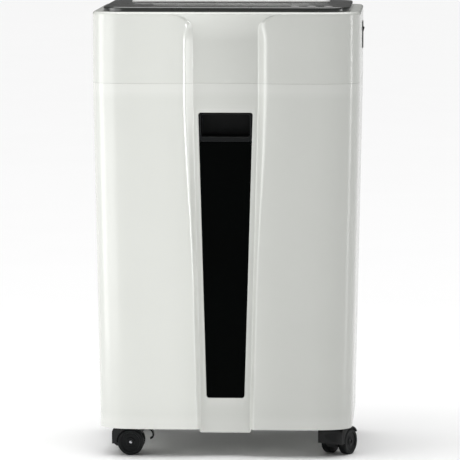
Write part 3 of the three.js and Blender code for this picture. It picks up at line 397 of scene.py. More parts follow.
def back_path(z, wrap_y, steps=16):
    """The back of the body, from the right side round to the left side."""
    side = half_width(z)
    right = [(side, wrap_y)]
    for i in range(steps + 1):
        angle = math.pi / 2 * i / steps
        x = side - BACK_CORNER * (1 - math.cos(angle))
        right.append((x, BACK_Y - BACK_CORNER * (1 - math.sin(angle))))
    return right + [(-x, y) for x, y in reversed(right)]


def shrunk(path, side, thickness, from_y, to_y):
    """A path drawn in by a wall's thickness, about the line where it meets the sides."""
    wide = (side - thickness) / side
    deep = (abs(to_y - from_y) - thickness) / abs(to_y - from_y)
    return [(x * wide, from_y + (y - from_y) * deep) for x, y in path]


# ------------------------------------------------------------------ materials


def new_material(name, color, roughness, **sockets):
    """A Principled material. Socket names have _ for a space."""
    material = bpy.data.materials.new(name)
    material.use_nodes = True
    shader = material.node_tree.nodes["Principled BSDF"]
    shader.inputs["Base Color"].default_value = (*color, 1)
    shader.inputs["Roughness"].default_value = roughness
    for socket, value in sockets.items():
        shader.inputs[socket.replace("_", " ")].default_value = value
    return material, shader


def add_node(material, kind, sockets, **settings):
    """A node with its settings and its sockets, each a value or another node's output."""
    made = material.node_tree.nodes.new(kind)
    for name, value in settings.items():
        setattr(made, name, value)
    for name, value in sockets.items():
        if isinstance(value, bpy.types.NodeSocket):
            material.node_tree.links.new(value, made.inputs[name])
        else:
            made.inputs[name].default_value = value
    return made


def add_noise(material, scale, stretch=(1, 1, 1), detail=4.0):
    """A noise in the object's own metres; stretch makes it run along an axis."""
    place = add_node(material, "ShaderNodeTexCoord", {})
    turned_to = add_node(
        material, "ShaderNodeMapping", {"Vector": place.outputs["Object"], "Scale": stretch}
    )
    noise = add_node(
        material,
        "ShaderNodeTexNoise",
        {"Vector": turned_to.outputs["Vector"], "Scale": scale, "Detail": detail},
    )
    return noise.outputs["Fac"]


def add_range(material, value, low, high, to_low, to_high):
    sockets = {"Value": value, "From Min": low, "From Max": high, "To Min": to_low, "To Max": to_high}
    return add_node(material, "ShaderNodeMapRange", sockets).outputs["Result"]


def add_mix(material, share, first, second):
    made = add_node(material, "ShaderNodeMix", {"Factor": share}, data_type="RGBA")
    for index, value in ((6, first), (7, second)):
        if isinstance(value, bpy.types.NodeSocket):
            material.node_tree.links.new(value, made.inputs[index])
        else:
            made.inputs[index].default_value = (*value, 1)
    return made.outputs[2]


def shade(color, share):
    return tuple(clamp(part * share) for part in color)


def finish_surface(material, shader, color, roughness, style):
    """Patchy colour and gloss, worn edges, settled dust and a fine grain, from the style."""
    links = material.node_tree.links
    patches = add_noise(material, style["patch"], style.get("stretch", (1, 1, 1)))
    tone = add_range(material, patches, 0.3, 0.7, 0, 1)
    spread = style["spread"]
    base = add_mix(material, tone, shade(color, 1 - spread), shade(color, 1 + spread))
    shape = add_node(material, "ShaderNodeNewGeometry", {})
    worn = add_range(material, shape.outputs["Pointiness"], 0.53, 0.62, 0, style["wear"])
    base = add_mix(material, worn, base, style["worn"])
    facing = add_node(material, "ShaderNodeSeparateXYZ", {"Vector": shape.outputs["Normal"]})
    upward = add_range(material, facing.outputs["Z"], 0.5, 1, 0, style["dust"])
    specks = add_range(material, add_noise(material, 60, detail=6), 0.35, 0.75, 0, 1)
    settled = add_node(
        material, "ShaderNodeMath", {0: upward, 1: specks}, operation="MULTIPLY"
    ).outputs[0]
    base = add_mix(material, settled, base, (0.52, 0.5, 0.47))
    links.new(base, shader.inputs["Base Color"])
    gloss = add_noise(material, style["gloss"], style.get("stretch", (1, 1, 1)))
    low, high = roughness - style["gloss_spread"], roughness + style["gloss_spread"]
    links.new(add_range(material, gloss, 0.3, 0.7, low, high), shader.inputs["Roughness"])
    grain = add_noise(material, style["grain"], style.get("stretch", (1, 1, 1)), detail=3.0)
    bump = add_node(
        material,
        "ShaderNodeBump",
        {"Height": grain, "Distance": style["depth"] * MM, "Strength": style["strength"]},
    )
    links.new(bump.outputs["Normal"], shader.inputs["Normal"])
    return material


def make_material(name, color, roughness, style, **sockets):
    material, shader = new_material(name, color, roughness, **sockets)
    return finish_surface(material, shader, color, roughness, style)


GLOSSY = {
    "patch": 9, "spread": 0.012, "wear": 0.1, "worn": (0.8, 0.8, 0.78), "dust": 0.05,
    "gloss": 25, "gloss_spread": 0.03, "grain": 420, "depth": 0.05, "strength": 0.06,
}
SATIN = {
    "patch": 14, "spread": 0.05, "wear": 0.3, "worn": (0.16, 0.16, 0.155), "dust": 0.08,
    "gloss": 40, "gloss_spread": 0.06, "grain": 1600, "depth": 0.06, "strength": 0.25,
}
GRAINED = {
    "patch": 30, "spread": 0.12, "wear": 0.35, "worn": (0.07, 0.07, 0.07), "dust": 0.12,
    "gloss": 80, "gloss_spread": 0.09, "grain": 2400, "depth": 0.1, "strength": 0.5,
}
METAL = {
    "patch": 40, "spread": 0.1, "wear": 0.4, "worn": (0.75, 0.75, 0.74), "dust": 0.05,
    "gloss": 120, "gloss_spread": 0.1, "grain": 900, "depth": 0.03, "strength": 0.4,
}
BRUSHED = {**METAL, "stretch": (0.05, 1, 1), "grain": 1800}

LOOKS = {
    "white_shell": make_material(
        "glossy_white_abs", (0.515, 0.525, 0.497), 0.24, GLOSSY, Coat_Weight=0.35, Coat_Roughness=0.12
    ),
    "graphite_cover": make_material(
        "graphite_satin", (0.014, 0.016, 0.014), 0.3, SATIN, Coat_Weight=0.8, Coat_Roughness=0.2
    ),
    "hood_grey": make_material(
        "light_grey_satin", (0.62, 0.62, 0.61), 0.38, {**SATIN, "worn": (0.75, 0.75, 0.74), "spread": 0.02}
    ),
    "black_plastic": make_material(
        "black_grained", (0.0035, 0.0043, 0.0046), 0.45, {**GRAINED, "dust": 0.04, "wear": 0.2},
        Specular_IOR_Level=0.15,
    ),
    "wheel_plastic": make_material(
        "black_tread", (0.0035, 0.0043, 0.0046), 0.5,
        {**GRAINED, "dust": 0.06, "wear": 0.25, "grain": 3000}, Specular_IOR_Level=0.18,
    ),
    "steel": make_material("zinc_plated", (0.5, 0.51, 0.53), 0.34, METAL, Metallic=1.0),
    "blade_steel": make_material("ground_steel", (0.36, 0.365, 0.37), 0.28, BRUSHED, Metallic=1.0),
    "bin_plastic": make_material(
        "dark_grey_pp", (0.026, 0.028, 0.029), 0.5, {**GRAINED, "stretch": (1, 1, 0.3), "grain": 1500}
    ),
    "circuit_board": make_material(
        "solder_mask", (0.015, 0.11, 0.05), 0.35, {**GRAINED, "worn": (0.3, 0.35, 0.2)}, Coat_Weight=0.5
    ),
    "motor_metal": make_material("drawn_can", (0.32, 0.33, 0.34), 0.4, BRUSHED, Metallic=0.9),
    "nylon": make_material(
        "natural_nylon", (0.74, 0.7, 0.6), 0.5, {**SATIN, "worn": (0.8, 0.78, 0.7)}, Subsurface_Weight=0.1
    ),
    "smoked_window": make_material(
        "smoked_acrylic", (0.001, 0.0014, 0.0013), 0.06,
        {**GLOSSY, "spread": 0.1, "worn": (0.02, 0.02, 0.02), "gloss_spread": 0.02, "dust": 0.02},
        Transmission_Weight=0.2, IOR=1.1, Specular_IOR_Level=0.2,
    ),
    "lens": make_material(
        "tinted_lens", (0.12, 0.42, 0.2), 0.12,
        {**GLOSSY, "spread": 0.06, "worn": (0.3, 0.6, 0.4)}, Transmission_Weight=0.5,
    ),
}


# ------------------------------------------------------------------ bin front


WINDOW_Z = (86, 498)
WINDOW_HALF = (27.5, 39)  # at the bottom and the top
WINDOW_GAP = 0.3
LIP_Z = (456, 463)
GRIP_HALF = 35
TONGUE_EDGE = (35.5, 38)  # the tongue ends between these distances from the middle
TONGUE_RISE = 30


def window_outline(z0, z1, clearance, corner=4.0, steps=8):
    """The window's outline as (x, z): straight sides that spread upwards."""

    def half_at(z):
        return mix(*WINDOW_HALF, (z - WINDOW_Z[0]) / (WINDOW_Z[1] - WINDOW_Z[0])) - clearance

    low, high = half_at(z0), half_at(z1)
    right = []
    for half, z, start in ((low, z0 + corner, -90), (high, z1 - corner, 0)):
        for i in range(steps + 1):
            angle = math.radians(start + 90 * i / steps)
            right.append((half - corner + corner * math.cos(angle), z + corner * math.sin(angle)))
    return right + [(-x, z) for x, z in reversed(right)]


def bin_front_rows():
    """The heights of the bin front's rows of points."""
    steps = 2 * PANEL_ROWS
    return [mix(CABINET_BOTTOM, CABINET_TOP, i / steps) for i in range(steps + 1)]


def bin_front_panel():
    """The white front: two bulged lobes, the channel between them and its tongue below."""
    outer, inner = [], []
    for z in bin_front_rows():
        path = front_path(z, WRAP_Y)
        low = smoothstep(z, CABINET_BOTTOM, CABINET_BOTTOM + TONGUE_RISE)
        drops = [
            mix(CABINET_BOTTOM - TONGUE_BOTTOM, 0, max(low, smoothstep(abs(x), *TONGUE_EDGE)))
            for x, _ in path
        ]
        within = shrunk(path, half_width(z), WALL, WRAP_Y, FRONT_Y)
        outer.append([(x, y, z - drop) for (x, y), drop in zip(path, drops)])
        inner.append([(x, y, z - drop) for (x, y), drop in zip(within, drops)])
    panel = thick_sheet("bin_front", outer, inner)
    levels = [(CHANNEL_Y - 3, -4.2), (CHANNEL_Y + 1.2, 0), (CHANNEL_Y + 12, 0)]
    cutter = loft(
        "cutter",
        [[(x, y, z) for x, z in window_outline(*WINDOW_Z, clearance)] for y, clearance in levels],
    )
    combine(panel, [cutter])
    return finish(panel, "drawer", "white_shell", ["bin_front_panel"], SEAM_BEVEL)


def bin_window():
    outline = window_outline(WINDOW_Z[0] + WINDOW_GAP, LIP_Z[0] - WINDOW_GAP, WINDOW_GAP)
    pane = prism("window_pane", "y", outline, CHANNEL_Y + 1.4, CHANNEL_Y + WALL)
    return finish(pane, "drawer", "smoked_window", ["bin_window"], 0.5)


def grip_pocket():
    """The dark pocket for the fingers, with its thick lip over the window's top."""
    outline = window_outline(LIP_Z[0], WINDOW_Z[1] - WINDOW_GAP, WINDOW_GAP)
    block = prism("finger_grip", "y", outline, CHANNEL_Y + 1, CHANNEL_Y + 32)
    inside = rounded_rect(-GRIP_HALF, GRIP_HALF, LIP_Z[1], WINDOW_Z[1] - 3, 3)
    hollow = prism("cutter", "y", inside, CHANNEL_Y - 1, CHANNEL_Y + 29.5)
    combine(block, [hollow])
    return finish(block, "drawer", "black_plastic", ["grip_pocket"], 1.2, segments=4)


# Levels of the bin: z, half width, front, back.
BIN_FOOT = (56, 144, -124, 106)
BIN_RIM = (440, 150, -128, 112)
BIN_SKIN = 3
BIN_CORNER = 14
BIN_LIP_HALF = 156
BIN_LIP_Z = (434, 439)
BIN_RIB_HALF = (142, 161)
BIN_RIB_Z = (76, 80)
BIN_RIB_Y = (-110, 100)
SIGHT_HALF = 26
SIGHT_Z = (110, 420)


def waste_bin():
    """The bin's box with draft and rounded corners, its rim, ribs and sight hole."""

    def rings(x_in, levels):
        made = []
        for z, half, y0, y1 in levels:
            corner = BIN_CORNER - x_in
            outline = rounded_rect(x_in - half, half - x_in, y0 + x_in, y1 - x_in, corner, 8)
            made.append([(x, y, z) for x, y in outline])
        return made

    box = loft("bin_box", rings(0, [BIN_FOOT, BIN_RIM]))
    room = [(BIN_FOOT[0] + BIN_SKIN, *BIN_FOOT[1:]), (BIN_RIM[0] + 1, *BIN_RIM[1:])]
    inside = loft("cutter", rings(BIN_SKIN, room))
    lip = rounded_rect(-BIN_LIP_HALF, BIN_LIP_HALF, *BIN_RIM[2:], 10)
    rim = prism("rim", "z", lip, *BIN_LIP_Z)
    near, far = BIN_RIB_HALF
    low, high = BIN_RIB_Z
    ribs = [
        prism("rib", "y", [(x0, low), (x1, low), (x1, high), (x0, high)], *BIN_RIB_Y)
        for x0, x1 in ((-far, -near), (near, far))
    ]
    combine(box, [rim, *ribs], "UNION")
    hole = rounded_rect(-SIGHT_HALF, SIGHT_HALF, *SIGHT_Z, 8)
    sight = prism("sight", "y", hole, BIN_RIM[2] - 7, BIN_RIM[2] + 16)
    combine(box, [inside, sight])
    return finish(box, "drawer", "bin_plastic", ["waste_bin"], 0.6)


# ------------------------------------------------------------------ cabinet


def side_panel(side):
    """A side wall, -1 for the left one and 1 for the right one."""

    def grid(inset):
        rows = []
        for i in range(PANEL_ROWS + 1):
            z = mix(CABINET_BOTTOM, CABINET_TOP, i / PANEL_ROWS)
            x = side * (half_width(z) - inset)
            rows.append([(x, mix(WRAP_Y + 0.3, BACK_WRAP_Y - 0.3, j / 12), z) for j in range(13)])
        return rows

    name = "left_side" if side < 0 else "right_side"
    panel = thick_sheet(name, grid(0), grid(WALL))
    node = f"{name}_panel"
    return finish(panel, "cabinet", "white_shell", [node], PANEL_BEVEL)


def back_panel():
    """The back wall with its rounded corners."""
    outer, inner = [], []
    for i in range(PANEL_ROWS + 1):
        z = mix(CABINET_BOTTOM, CABINET_TOP, i / PANEL_ROWS)
        path = back_path(z, BACK_WRAP_Y)
        outer.append([(x, y, z) for x, y in path])
        within = shrunk(path, half_width(z), WALL, BACK_WRAP_Y, BACK_Y)
        inner.append([(x, y, z) for x, y in within])
    panel = thick_sheet("cabinet_back", outer, inner)
    return finish(panel, "cabinet", "white_shell", ["back_panel"], PANEL_BEVEL)


# ------------------------------------------------------------------ head shells


def rim_point(x, y):
    """The point of the rim's rounded opening that faces a point of the outline."""
    half, front, back = HEAD_HALF - LEDGE, FRONT_Y + LEDGE, BACK_Y - LEDGE
    centre_x = clamp(x, RIM_CORNER - half, half - RIM_CORNER)
    centre_y = clamp(y, front + RIM_CORNER, back - RIM_CORNER)
    length = math.hypot(x - centre_x, y - centre_y)
    return (
        centre_x + (x - centre_x) / length * RIM_CORNER,
        centre_y + (y - centre_y) / length * RIM_CORNER,
    )


def towards_rim(point, distance):
    x, y = point
    rim_x, rim_y = rim_point(x, y)
    length = math.hypot(rim_x - x, rim_y - y)
    return (x + (rim_x - x) * distance / length, y + (rim_y - y) * distance / length)


def towards_rim_share(point, share):
    rim_x, rim_y = rim_point(*point)
    return (mix(point[0], rim_x, share), mix(point[1], rim_y, share))


# The head's heights: wide apart, closer in the scoop and closest in the arch.
HEAD_LEVELS = [
    HEAD_BOTTOM, 548, 560, 575, 590, *np.arange(600, 617, 2.0), *np.arange(617, 638, 0.7)
]
FILLET_STEPS = 6
INNER_STEP = 0.1  # how far each step of the rounding draws the inner skin in
INNER_TOP = 637  # where the inner skin starts to follow the rounding
LEDGE_STEPS = (0.25, 0.5, 0.75, 1)


def head_shell(name, path_at, from_y, to_y):
    """One of the head's shells: its wall, the rounding over the top and the ledge inside."""
    outer, inner = [], []
    for z in HEAD_LEVELS:
        path = path_at(z)
        outer.append([(x, y, z) for x, y in path])
        inner.append([(x, y, z) for x, y in shrunk(path, HEAD_HALF, SHELL, from_y, to_y)])
    path = path_at(HEAD_TOP)
    within = shrunk(path, HEAD_HALF, SHELL, from_y, to_y)
    for i in range(1, FILLET_STEPS + 1):
        angle = math.pi / 2 * i / FILLET_STEPS
        inset = TOP_ROUND * (1 - math.cos(angle))
        z = HEAD_TOP - TOP_ROUND * (1 - math.sin(angle))
        outer.append([(*towards_rim(p, inset), z) for p in path])
        under_z = mix(INNER_TOP, HEAD_TOP - SHELL, i / FILLET_STEPS)
        inner.append([(*towards_rim(p, INNER_STEP * i), under_z) for p in within])
    edge = [towards_rim(p, TOP_ROUND) for p in path]
    under = [towards_rim(p, INNER_STEP * FILLET_STEPS) for p in within]
    for share in LEDGE_STEPS:
        outer.append([(*towards_rim_share(p, share), HEAD_TOP) for p in edge])
        inner.append([(*towards_rim_share(p, share), HEAD_TOP - SHELL) for p in under])
    return thick_sheet(name, outer, inner)


def head_front_shell():
    """The front half of the head's shell."""
    split = HEAD_SPLIT_Y - SPLIT_HALF
    shell = head_shell("head_front", lambda z: front_path(z, split), split, FRONT_Y)
    return finish(shell, "cabinet", "white_shell", ["head_front_shell"], SEAM_BEVEL)


VENT_COUNT = 12
VENT_PITCH = 8
VENT_X = 110
VENT_Z = (568, 604)
REAR_CUT_Y = (140, 155)


def head_rear_shell():
    """The rear half of the head's shell, open for the rocker, the inlet and the air."""
    split = HEAD_SPLIT_Y + SPLIT_HALF
    shell = head_shell("head_rear", lambda z: back_path(z, split), split, BACK_Y)
    rocker_hole = rounded_rect(ROCKER_Y - 10, ROCKER_Y + 10, ROCKER_Z - 18, ROCKER_Z + 18, 1)
    inlet_hole = rounded_rect(INLET_X - 14, INLET_X + 14, INLET_Z - 10.5, INLET_Z + 10.5, 1)
    openings = [
        prism("cutter", "x", rocker_hole, 185, 200),
        prism("cutter", "y", inlet_hole, *REAR_CUT_Y),
    ]
    for i in range(VENT_COUNT):
        x = VENT_X + (i - (VENT_COUNT - 1) / 2) * VENT_PITCH
        vent = rounded_rect(x - 1.5, x + 1.5, *VENT_Z, 1.45, 6)
        openings.append(prism("cutter", "y", vent, *REAR_CUT_Y))
    combine(shell, openings)
    return finish(shell, "cabinet", "white_shell", ["head_rear_shell"], PANEL_BEVEL)


# ------------------------------------------------------------------ top


def rounded_plate(name, levels, corner):
    """A plate through (z, x half, y front, y back) levels, its corners kept concentric."""
    widest = max(half for _, half, _, _ in levels)
    rings = []
    for z, half, front, back in levels:
        outline = rounded_rect(-half, half, front, back, corner - (widest - half), 20)
        rings.append([(x, y, z) for x, y in outline])
    return loft(name, rings)


def fillet_levels(z, radius, half, front, back, steps=6):
    """Levels that round a plate's top edge over."""
    levels = []
    for i in range(steps + 1):
        angle = math.pi / 2 * i / steps
        inset = radius * (1 - math.cos(angle))
        levels.append((z - radius * (1 - math.sin(angle)), half - inset, front + inset, back - inset))
    return levels


def top_cover():
    """The graphite plate, with its edge rounded over and holes for the slot and controls."""
    bottom, top = COVER_Z
    levels = [(bottom, COVER_HALF - 0.5, COVER_Y[0] + 0.5, COVER_Y[1] - 0.5)]
    levels += [(bottom + 0.5, COVER_HALF, *COVER_Y)]
    levels += fillet_levels(top, 2.6, COVER_HALF, *COVER_Y)
    cover = rounded_plate("cover_plate", levels, COVER_CORNER)
    inner = rounded_rect(3 - COVER_HALF, COVER_HALF - 3, COVER_Y[0] + 3, COVER_Y[1] - 3, COVER_CORNER - 3)
    openings = [prism("cutter", "z", inner, bottom - 1, top - 2.5)]
    slot = rounded_rect(-116, 116, PAPER_Y - 9, PAPER_Y + 9, 2)
    openings.append(prism("cutter", "z", slot, bottom - 1, top + 1))
    for x in BUTTONS.values():
        r = BUTTON_HOLE
        hole = rounded_rect(x - r, x + r, BUTTON_Y - r, BUTTON_Y + r, r - 0.01, 16)
        openings.append(prism("cutter", "z", hole, bottom - 1, top + 1))
    lens = rounded_rect(LENS_X - 9, LENS_X + 9, BUTTON_Y - 2, BUTTON_Y + 2, 1.5, 6)
    openings.append(prism("cutter", "z", lens, bottom - 1, top + 1))
    combine(cover, openings)
    return finish(cover, "cabinet", "graphite_cover", ["top_cover"], 0.35)


# The hood's tiers: half width, front, back. The mouth is one side of the slot, as (y, z).
HOOD_TIER = (145, 14, 82)
HOOD_CROWN = (114.5, 24, 72)
HOOD_ROUND = 2
MOUTH = ((37, 658.8), (40.5, 655.9), (43.2, 654), (44.5, 652.2), (44.5, 647.8))
MOUTH_HALF = 111


def feed_hood():
    """The light grey hood in two tiers, with the slot's flared mouth."""
    tier_levels = [(649.1, *HOOD_TIER)] + fillet_levels(652.4, HOOD_ROUND, *HOOD_TIER)
    tier = rounded_plate("feed_hood_shell", tier_levels, 14)
    crown_levels = [(650, *HOOD_CROWN)] + fillet_levels(657.8, HOOD_ROUND, *HOOD_CROWN)
    crown = rounded_plate("crown", crown_levels, 5)
    flare = [*MOUTH, *((2 * PAPER_Y - y, z) for y, z in reversed(MOUTH))]
    mouth = prism("cutter", "x", flare, -MOUTH_HALF, MOUTH_HALF)
    combine(tier, [crown], "UNION")
    combine(tier, [mouth])
    return finish(tier, "cabinet", "hood_grey", ["feed_hood"], 0.5)


def control_button(name, x):
    """A round button with a dished face and a collar under the cover."""
    z0, z1 = COVER_Z[0] + 1, COVER_Z[1]
    profile = [(0, z0), (9, z0), (9, z0 + 2.2), (7, z0 + 2.2), (7, z1 - 0.8), (6.7, z1 - 0.25), (6, z1)]
    profile += [(5.2, z1 - 0.1), (3.5, z1 - 0.45), (1.8, z1 - 0.6), (0, z1 - 0.65)]
    cap = turned(f"{name}_cap", "z", profile, (x, BUTTON_Y))
    return finish(cap, name, "hood_grey", [name], 0.15, segments=2)


def indicator_lens():
    outline = rounded_rect(LENS_X - 8.7, LENS_X + 8.7, BUTTON_Y - 1.7, BUTTON_Y + 1.7, 1.2, 6)
    lens = prism("indicator", "z", outline, COVER_Z[0] + 1, COVER_Z[1])
    return finish(lens, "cabinet", "lens", ["indicator_lens"], 0.4)


def rocker_bezel():
    """The switch's frame: a flange outside the shell and a tube through it."""
    flange = rounded_rect(48, 72, 581, 621, 2.5)
    frame_plate = prism("switch_bezel", "x", flange, HEAD_HALF + 0.3, HEAD_HALF + 1.3)
    tube = prism("tube", "x", rounded_rect(50.3, 69.7, 583.3, 618.7, 1), HEAD_HALF - 18, HEAD_HALF + 1)
    hollow = prism("cutter", "x", rounded_rect(52, 68, 586, 616, 1), HEAD_HALF - 16.5, HEAD_HALF + 5)
    combine(frame_plate, [tube], "UNION")
    combine(frame_plate, [hollow])
    return finish(frame_plate, "cabinet", "black_plastic", ["rocker_bezel"], 0.3)


ROCKER_R = 14.6


def power_rocker():
    """A rocker whose ends are arcs about its pivot, with a dished face."""
    pivot_x = HEAD_HALF - 7.5
    outline = []
    for start, end in ((-57, -110), (110, 43)):
        for i in range(9):
            angle = math.radians(mix(start, end, i / 8))
            x = max(pivot_x + ROCKER_R * math.cos(angle), pivot_x - 5)
            outline.append((x, ROCKER_Z + ROCKER_R * math.sin(angle)))
    outline.append((pivot_x + 8, ROCKER_Z))
    rocker = prism("rocker_paddle", "y", outline, ROCKER_Y - 7.5, ROCKER_Y + 7.5)
    return finish(rocker, "power_rocker", "black_plastic", ["power_rocker"], 0.6)


def power_inlet():
    """The mains inlet: a socket with cut upper corners and three flat pins."""
    x0, x1, z0, z1 = INLET_X - 13.7, INLET_X + 13.7, INLET_Z - 10.2, INLET_Z + 10.2
    inlet = prism("mains_inlet", "y", rounded_rect(x0, x1, z0, z1, 1), 129.7, 149.7)
    left, right, low, high = INLET_X - 11.5, INLET_X + 11.5, INLET_Z - 8, INLET_Z + 8
    cavity = [(left, low), (right, low), (right, high - 5)]
    cavity += [(right - 5, high), (left + 5, high), (left, high - 5)]
    combine(inlet, [prism("cutter", "y", cavity, 133.7, 151)])
    pins = []
    for across, up in ((-7, -2), (0, 3), (7, -2)):
        x, z = INLET_X + across, INLET_Z + up
        blade = rounded_rect(x - 1, x + 1, z - 2, z + 2, 0.6, 4)
        pins.append(prism("pin", "y", blade, 133, 142.7))
    combine(inlet, pins, "UNION")
    return finish(inlet, "cabinet", "black_plastic", ["power_inlet"], 0.3)


# ------------------------------------------------------------------ cutters


TEETH = 24
TOOTH = ((0.0, 22), (0.12, 21.9), (0.3, 20.4), (0.8, 20.2))  # share of the pitch, radius
DISC_TURN = 0.37  # each pair of discs is turned by this share of the pitch


def toothed_disc(x0, x1, y, phase):
    """A cutting disc with hooked teeth."""
    outline = []
    for i in range(TEETH):
        for share, radius in TOOTH:
            angle = 2 * math.pi * (i + share + phase) / TEETH
            outline.append((y + radius * math.cos(angle), SHAFT_Z + radius * math.sin(angle)))
    return prism("disc", "x", outline, x0, x1)


def cutter(name, node, body, y, discs, gear_end):
    """A shaft with pairs of thin toothed discs; the other shaft's discs run between them."""
    profile = [(0, gear_end), (6, gear_end), (6, -113), (12, -113)]
    profile += [(12, 113), (6, 113), (6, 128), (0, 128)]
    parts = [turned("shaft", "x", profile, (y, SHAFT_Z))]
    for i in range(discs):
        x = (i - (discs - 1) / 2) * DISC_PITCH
        parts.append(toothed_disc(x - 4.2, x - 0.6, y, DISC_TURN * i))
        parts.append(toothed_disc(x + 0.6, x + 4.2, y, DISC_TURN * i + 0.5))
    roller = joined(name, parts)
    return finish(roller, body, "blade_steel", [node], 0.25, segments=2)


# ------------------------------------------------------------------ casters


def placed(piece, place):
    """Moves a caster part from its own frame, its stem on Z, to its corner."""
    x, y, turn, _ = CASTERS[place]
    matrix = Matrix.Translation(Vector((x, y, 0)) * MM) @ Matrix.Rotation(math.radians(turn), 4, "Z")
    piece.data.transform(matrix)
    return piece


def arc(centre, radius, start, end, steps):
    points = []
    for i in range(steps + 1):
        angle = math.radians(mix(start, end, i / steps))
        points.append((centre[0] + radius * math.cos(angle), centre[1] + radius * math.sin(angle)))
    return points


def caster_hood(place):
    """The fender over both wheels, the web between them and the stem."""
    fender = [(-10, 17), (-10, 33)] + arc((-2, 33), 8, 180, 90, 10)[1:] + [(19, 41)]
    fender += arc((TRAIL, WHEEL_R), 22.1, 85, 38, 16) + [(TRAIL, WHEEL_R)]
    hood = prism("hood", "y", fender, -20, 20)
    wheel_room = []
    for y0, y1 in ((-21, -7.5), (7.5, 21)):
        circle = arc((TRAIL, WHEEL_R), WHEEL_R + 0.8, 0, 360 - 5, 71)
        wheel_room.append(prism("cutter", "y", circle, y0, y1))
    combine(hood, wheel_room)
    web = [(-10, 17), (-10, 33), (-4, 40), (17, 40.5), (31, 34), (24, 18), (17, 12), (-4, 12)]
    stem = prism("stem", "z", arc((0, 0), 5, 0, 360 - 10, 35), 30, 62)
    combine(hood, [prism("web", "y", web, -7.5, 7.5), stem], "UNION")
    combine(hood, [prism("cutter", "y", arc((TRAIL, WHEEL_R), 2.8, 0, 345, 23), -9, 9)])
    return placed(hood, place)


def smooth_path(points, steps=6):
    """A Catmull-Rom curve through points."""
    ends = [points[0], *points, points[-1]]
    path = []
    for p0, p1, p2, p3 in zip(ends, ends[1:], ends[2:], ends[3:]):
        for i in range(steps):
            t = i / steps
            path.append(tuple(
                0.5 * (2 * b + (c - a) * t + (2 * a - 5 * b + 4 * c - d) * t**2
                       + (3 * b - a - 3 * c + d) * t**3)
                for a, b, c, d in zip(p0, p1, p2, p3)
            ))
    return path + [points[-1]]


def brake_lever(place):
    """The foot tab of the brake: a hooked strip behind the hood, ribbed for the toe."""
    path = smooth_path([(32, 38.4), (38, 39), (46, 36.2), (49.5, 31), (49.2, 24.5), (45, 21.5)])
    under = []
    for i, (x, z) in enumerate(path):
        before, after = path[max(i - 1, 0)], path[min(i + 1, len(path) - 1)]
        along = Vector((after[0] - before[0], after[1] - before[1])).normalized()
        under.append((x + along.y * 2.2, z - along.x * 2.2))
    lever = prism("lever", "y", path + under[::-1], -6.5, 6.5)
    ribs = [prism("rib", "y", arc((x, z), 0.45, 0, 315, 7), -5.5, 5.5) for x, z in path[8:19:2]]
    combine(lever, ribs, "UNION")
    return placed(lever, place)


def caster_wheel(place, side):
    """A wheel with a rounded tread, a dished side and a hub cap."""
    near, far = 8, 20
    profile = [(2.8, near), (17.2, near), (18.4, near + 0.5), (18.9, near + 1.6), (19, near + 3)]
    profile += [(19, far - 3), (18.9, far - 1.6), (18.4, far - 0.5), (17.4, far), (14.2, far)]
    profile += [(13.6, far - 0.3), (13.2, far - 1.5), (7, far - 1.5), (6.6, far - 1), (6, far - 0.4)]
    profile += [(2.8, far - 0.4)]
    wheel = turned("wheel", "y", [(r, side * along) for r, along in profile], (TRAIL, WHEEL_R), 72)
    return placed(wheel, place)


def casters():
    for place, (_, _, _, brake) in CASTERS.items():
        hood = caster_hood(place)
        hood.name = f"{place}_fender"
        finish(hood, f"{place}_caster", "black_plastic", [f"{place}_caster_hood"], 0.7)
        for letter, side in (("a", 1), ("b", -1)):
            wheel = caster_wheel(place, side)
            wheel.name = f"{place}_tyre_{letter}"
            node = f"{place}_wheel_{letter}"
            finish(wheel, node, "wheel_plastic", [node], 0.2, segments=2)
        if brake:
            lever = brake_lever(place)
            lever.name = f"{place}_foot_tab"
            body = f"{place}_brake"
            finish(lever, body, "black_plastic", [f"{place}_brake_lever"], 0.35, segments=2)


# ------------------------------------------------------------------ assembly


INSIDE = {
    "base_plate": "white_shell",
    "cabinet_deck": "black_plastic",
    "left_runner": "steel",
    "right_runner": "steel",
    "bin_switch": "black_plastic",
    "throat_guide": "black_plastic",
    "control_board": "circuit_board",
    "capacitor": "motor_metal",
    "left_side_plate": "steel",
    "right_side_plate": "steel",
    "front_stripper": "black_plastic",
    "rear_stripper": "black_plastic",
    "front_sync_gear": "steel",
    "rear_sync_gear": "steel",
    "final_gear": "nylon",
    "idler_gear": "nylon",
    "idler_axle": "steel",
    "motor_can": "motor_metal",
    "motor_pinion": "steel",
    "cooling_fan": "black_plastic",
    "front_tie_rod": "steel",
    "rear_tie_rod": "steel",
    **{f"{place}_caster_axle": "steel" for place in CASTERS},
}


def build():
    bin_front_panel()
    bin_window()
    grip_pocket()
    waste_bin()
    side_panel(-1)
    side_panel(1)
    back_panel()
    head_front_shell()
    head_rear_shell()
    top_cover()
    feed_hood()
    for name, x in BUTTONS.items():
        control_button(name, x)
    indicator_lens()
    rocker_bezel()
    power_rocker()
    power_inlet()
    cutter("front_roller", "front_cutter", "front_cutter_shaft", FRONT_SHAFT_Y, 13, -154)
    cutter("rear_roller", "rear_cutter", "rear_cutter_shaft", REAR_SHAFT_Y, 12, -133)
    casters()
    for node, slot in INSIDE.items():
        from_cad(node, slot)


# ------------------------------------------------------------------ floor, light and camera


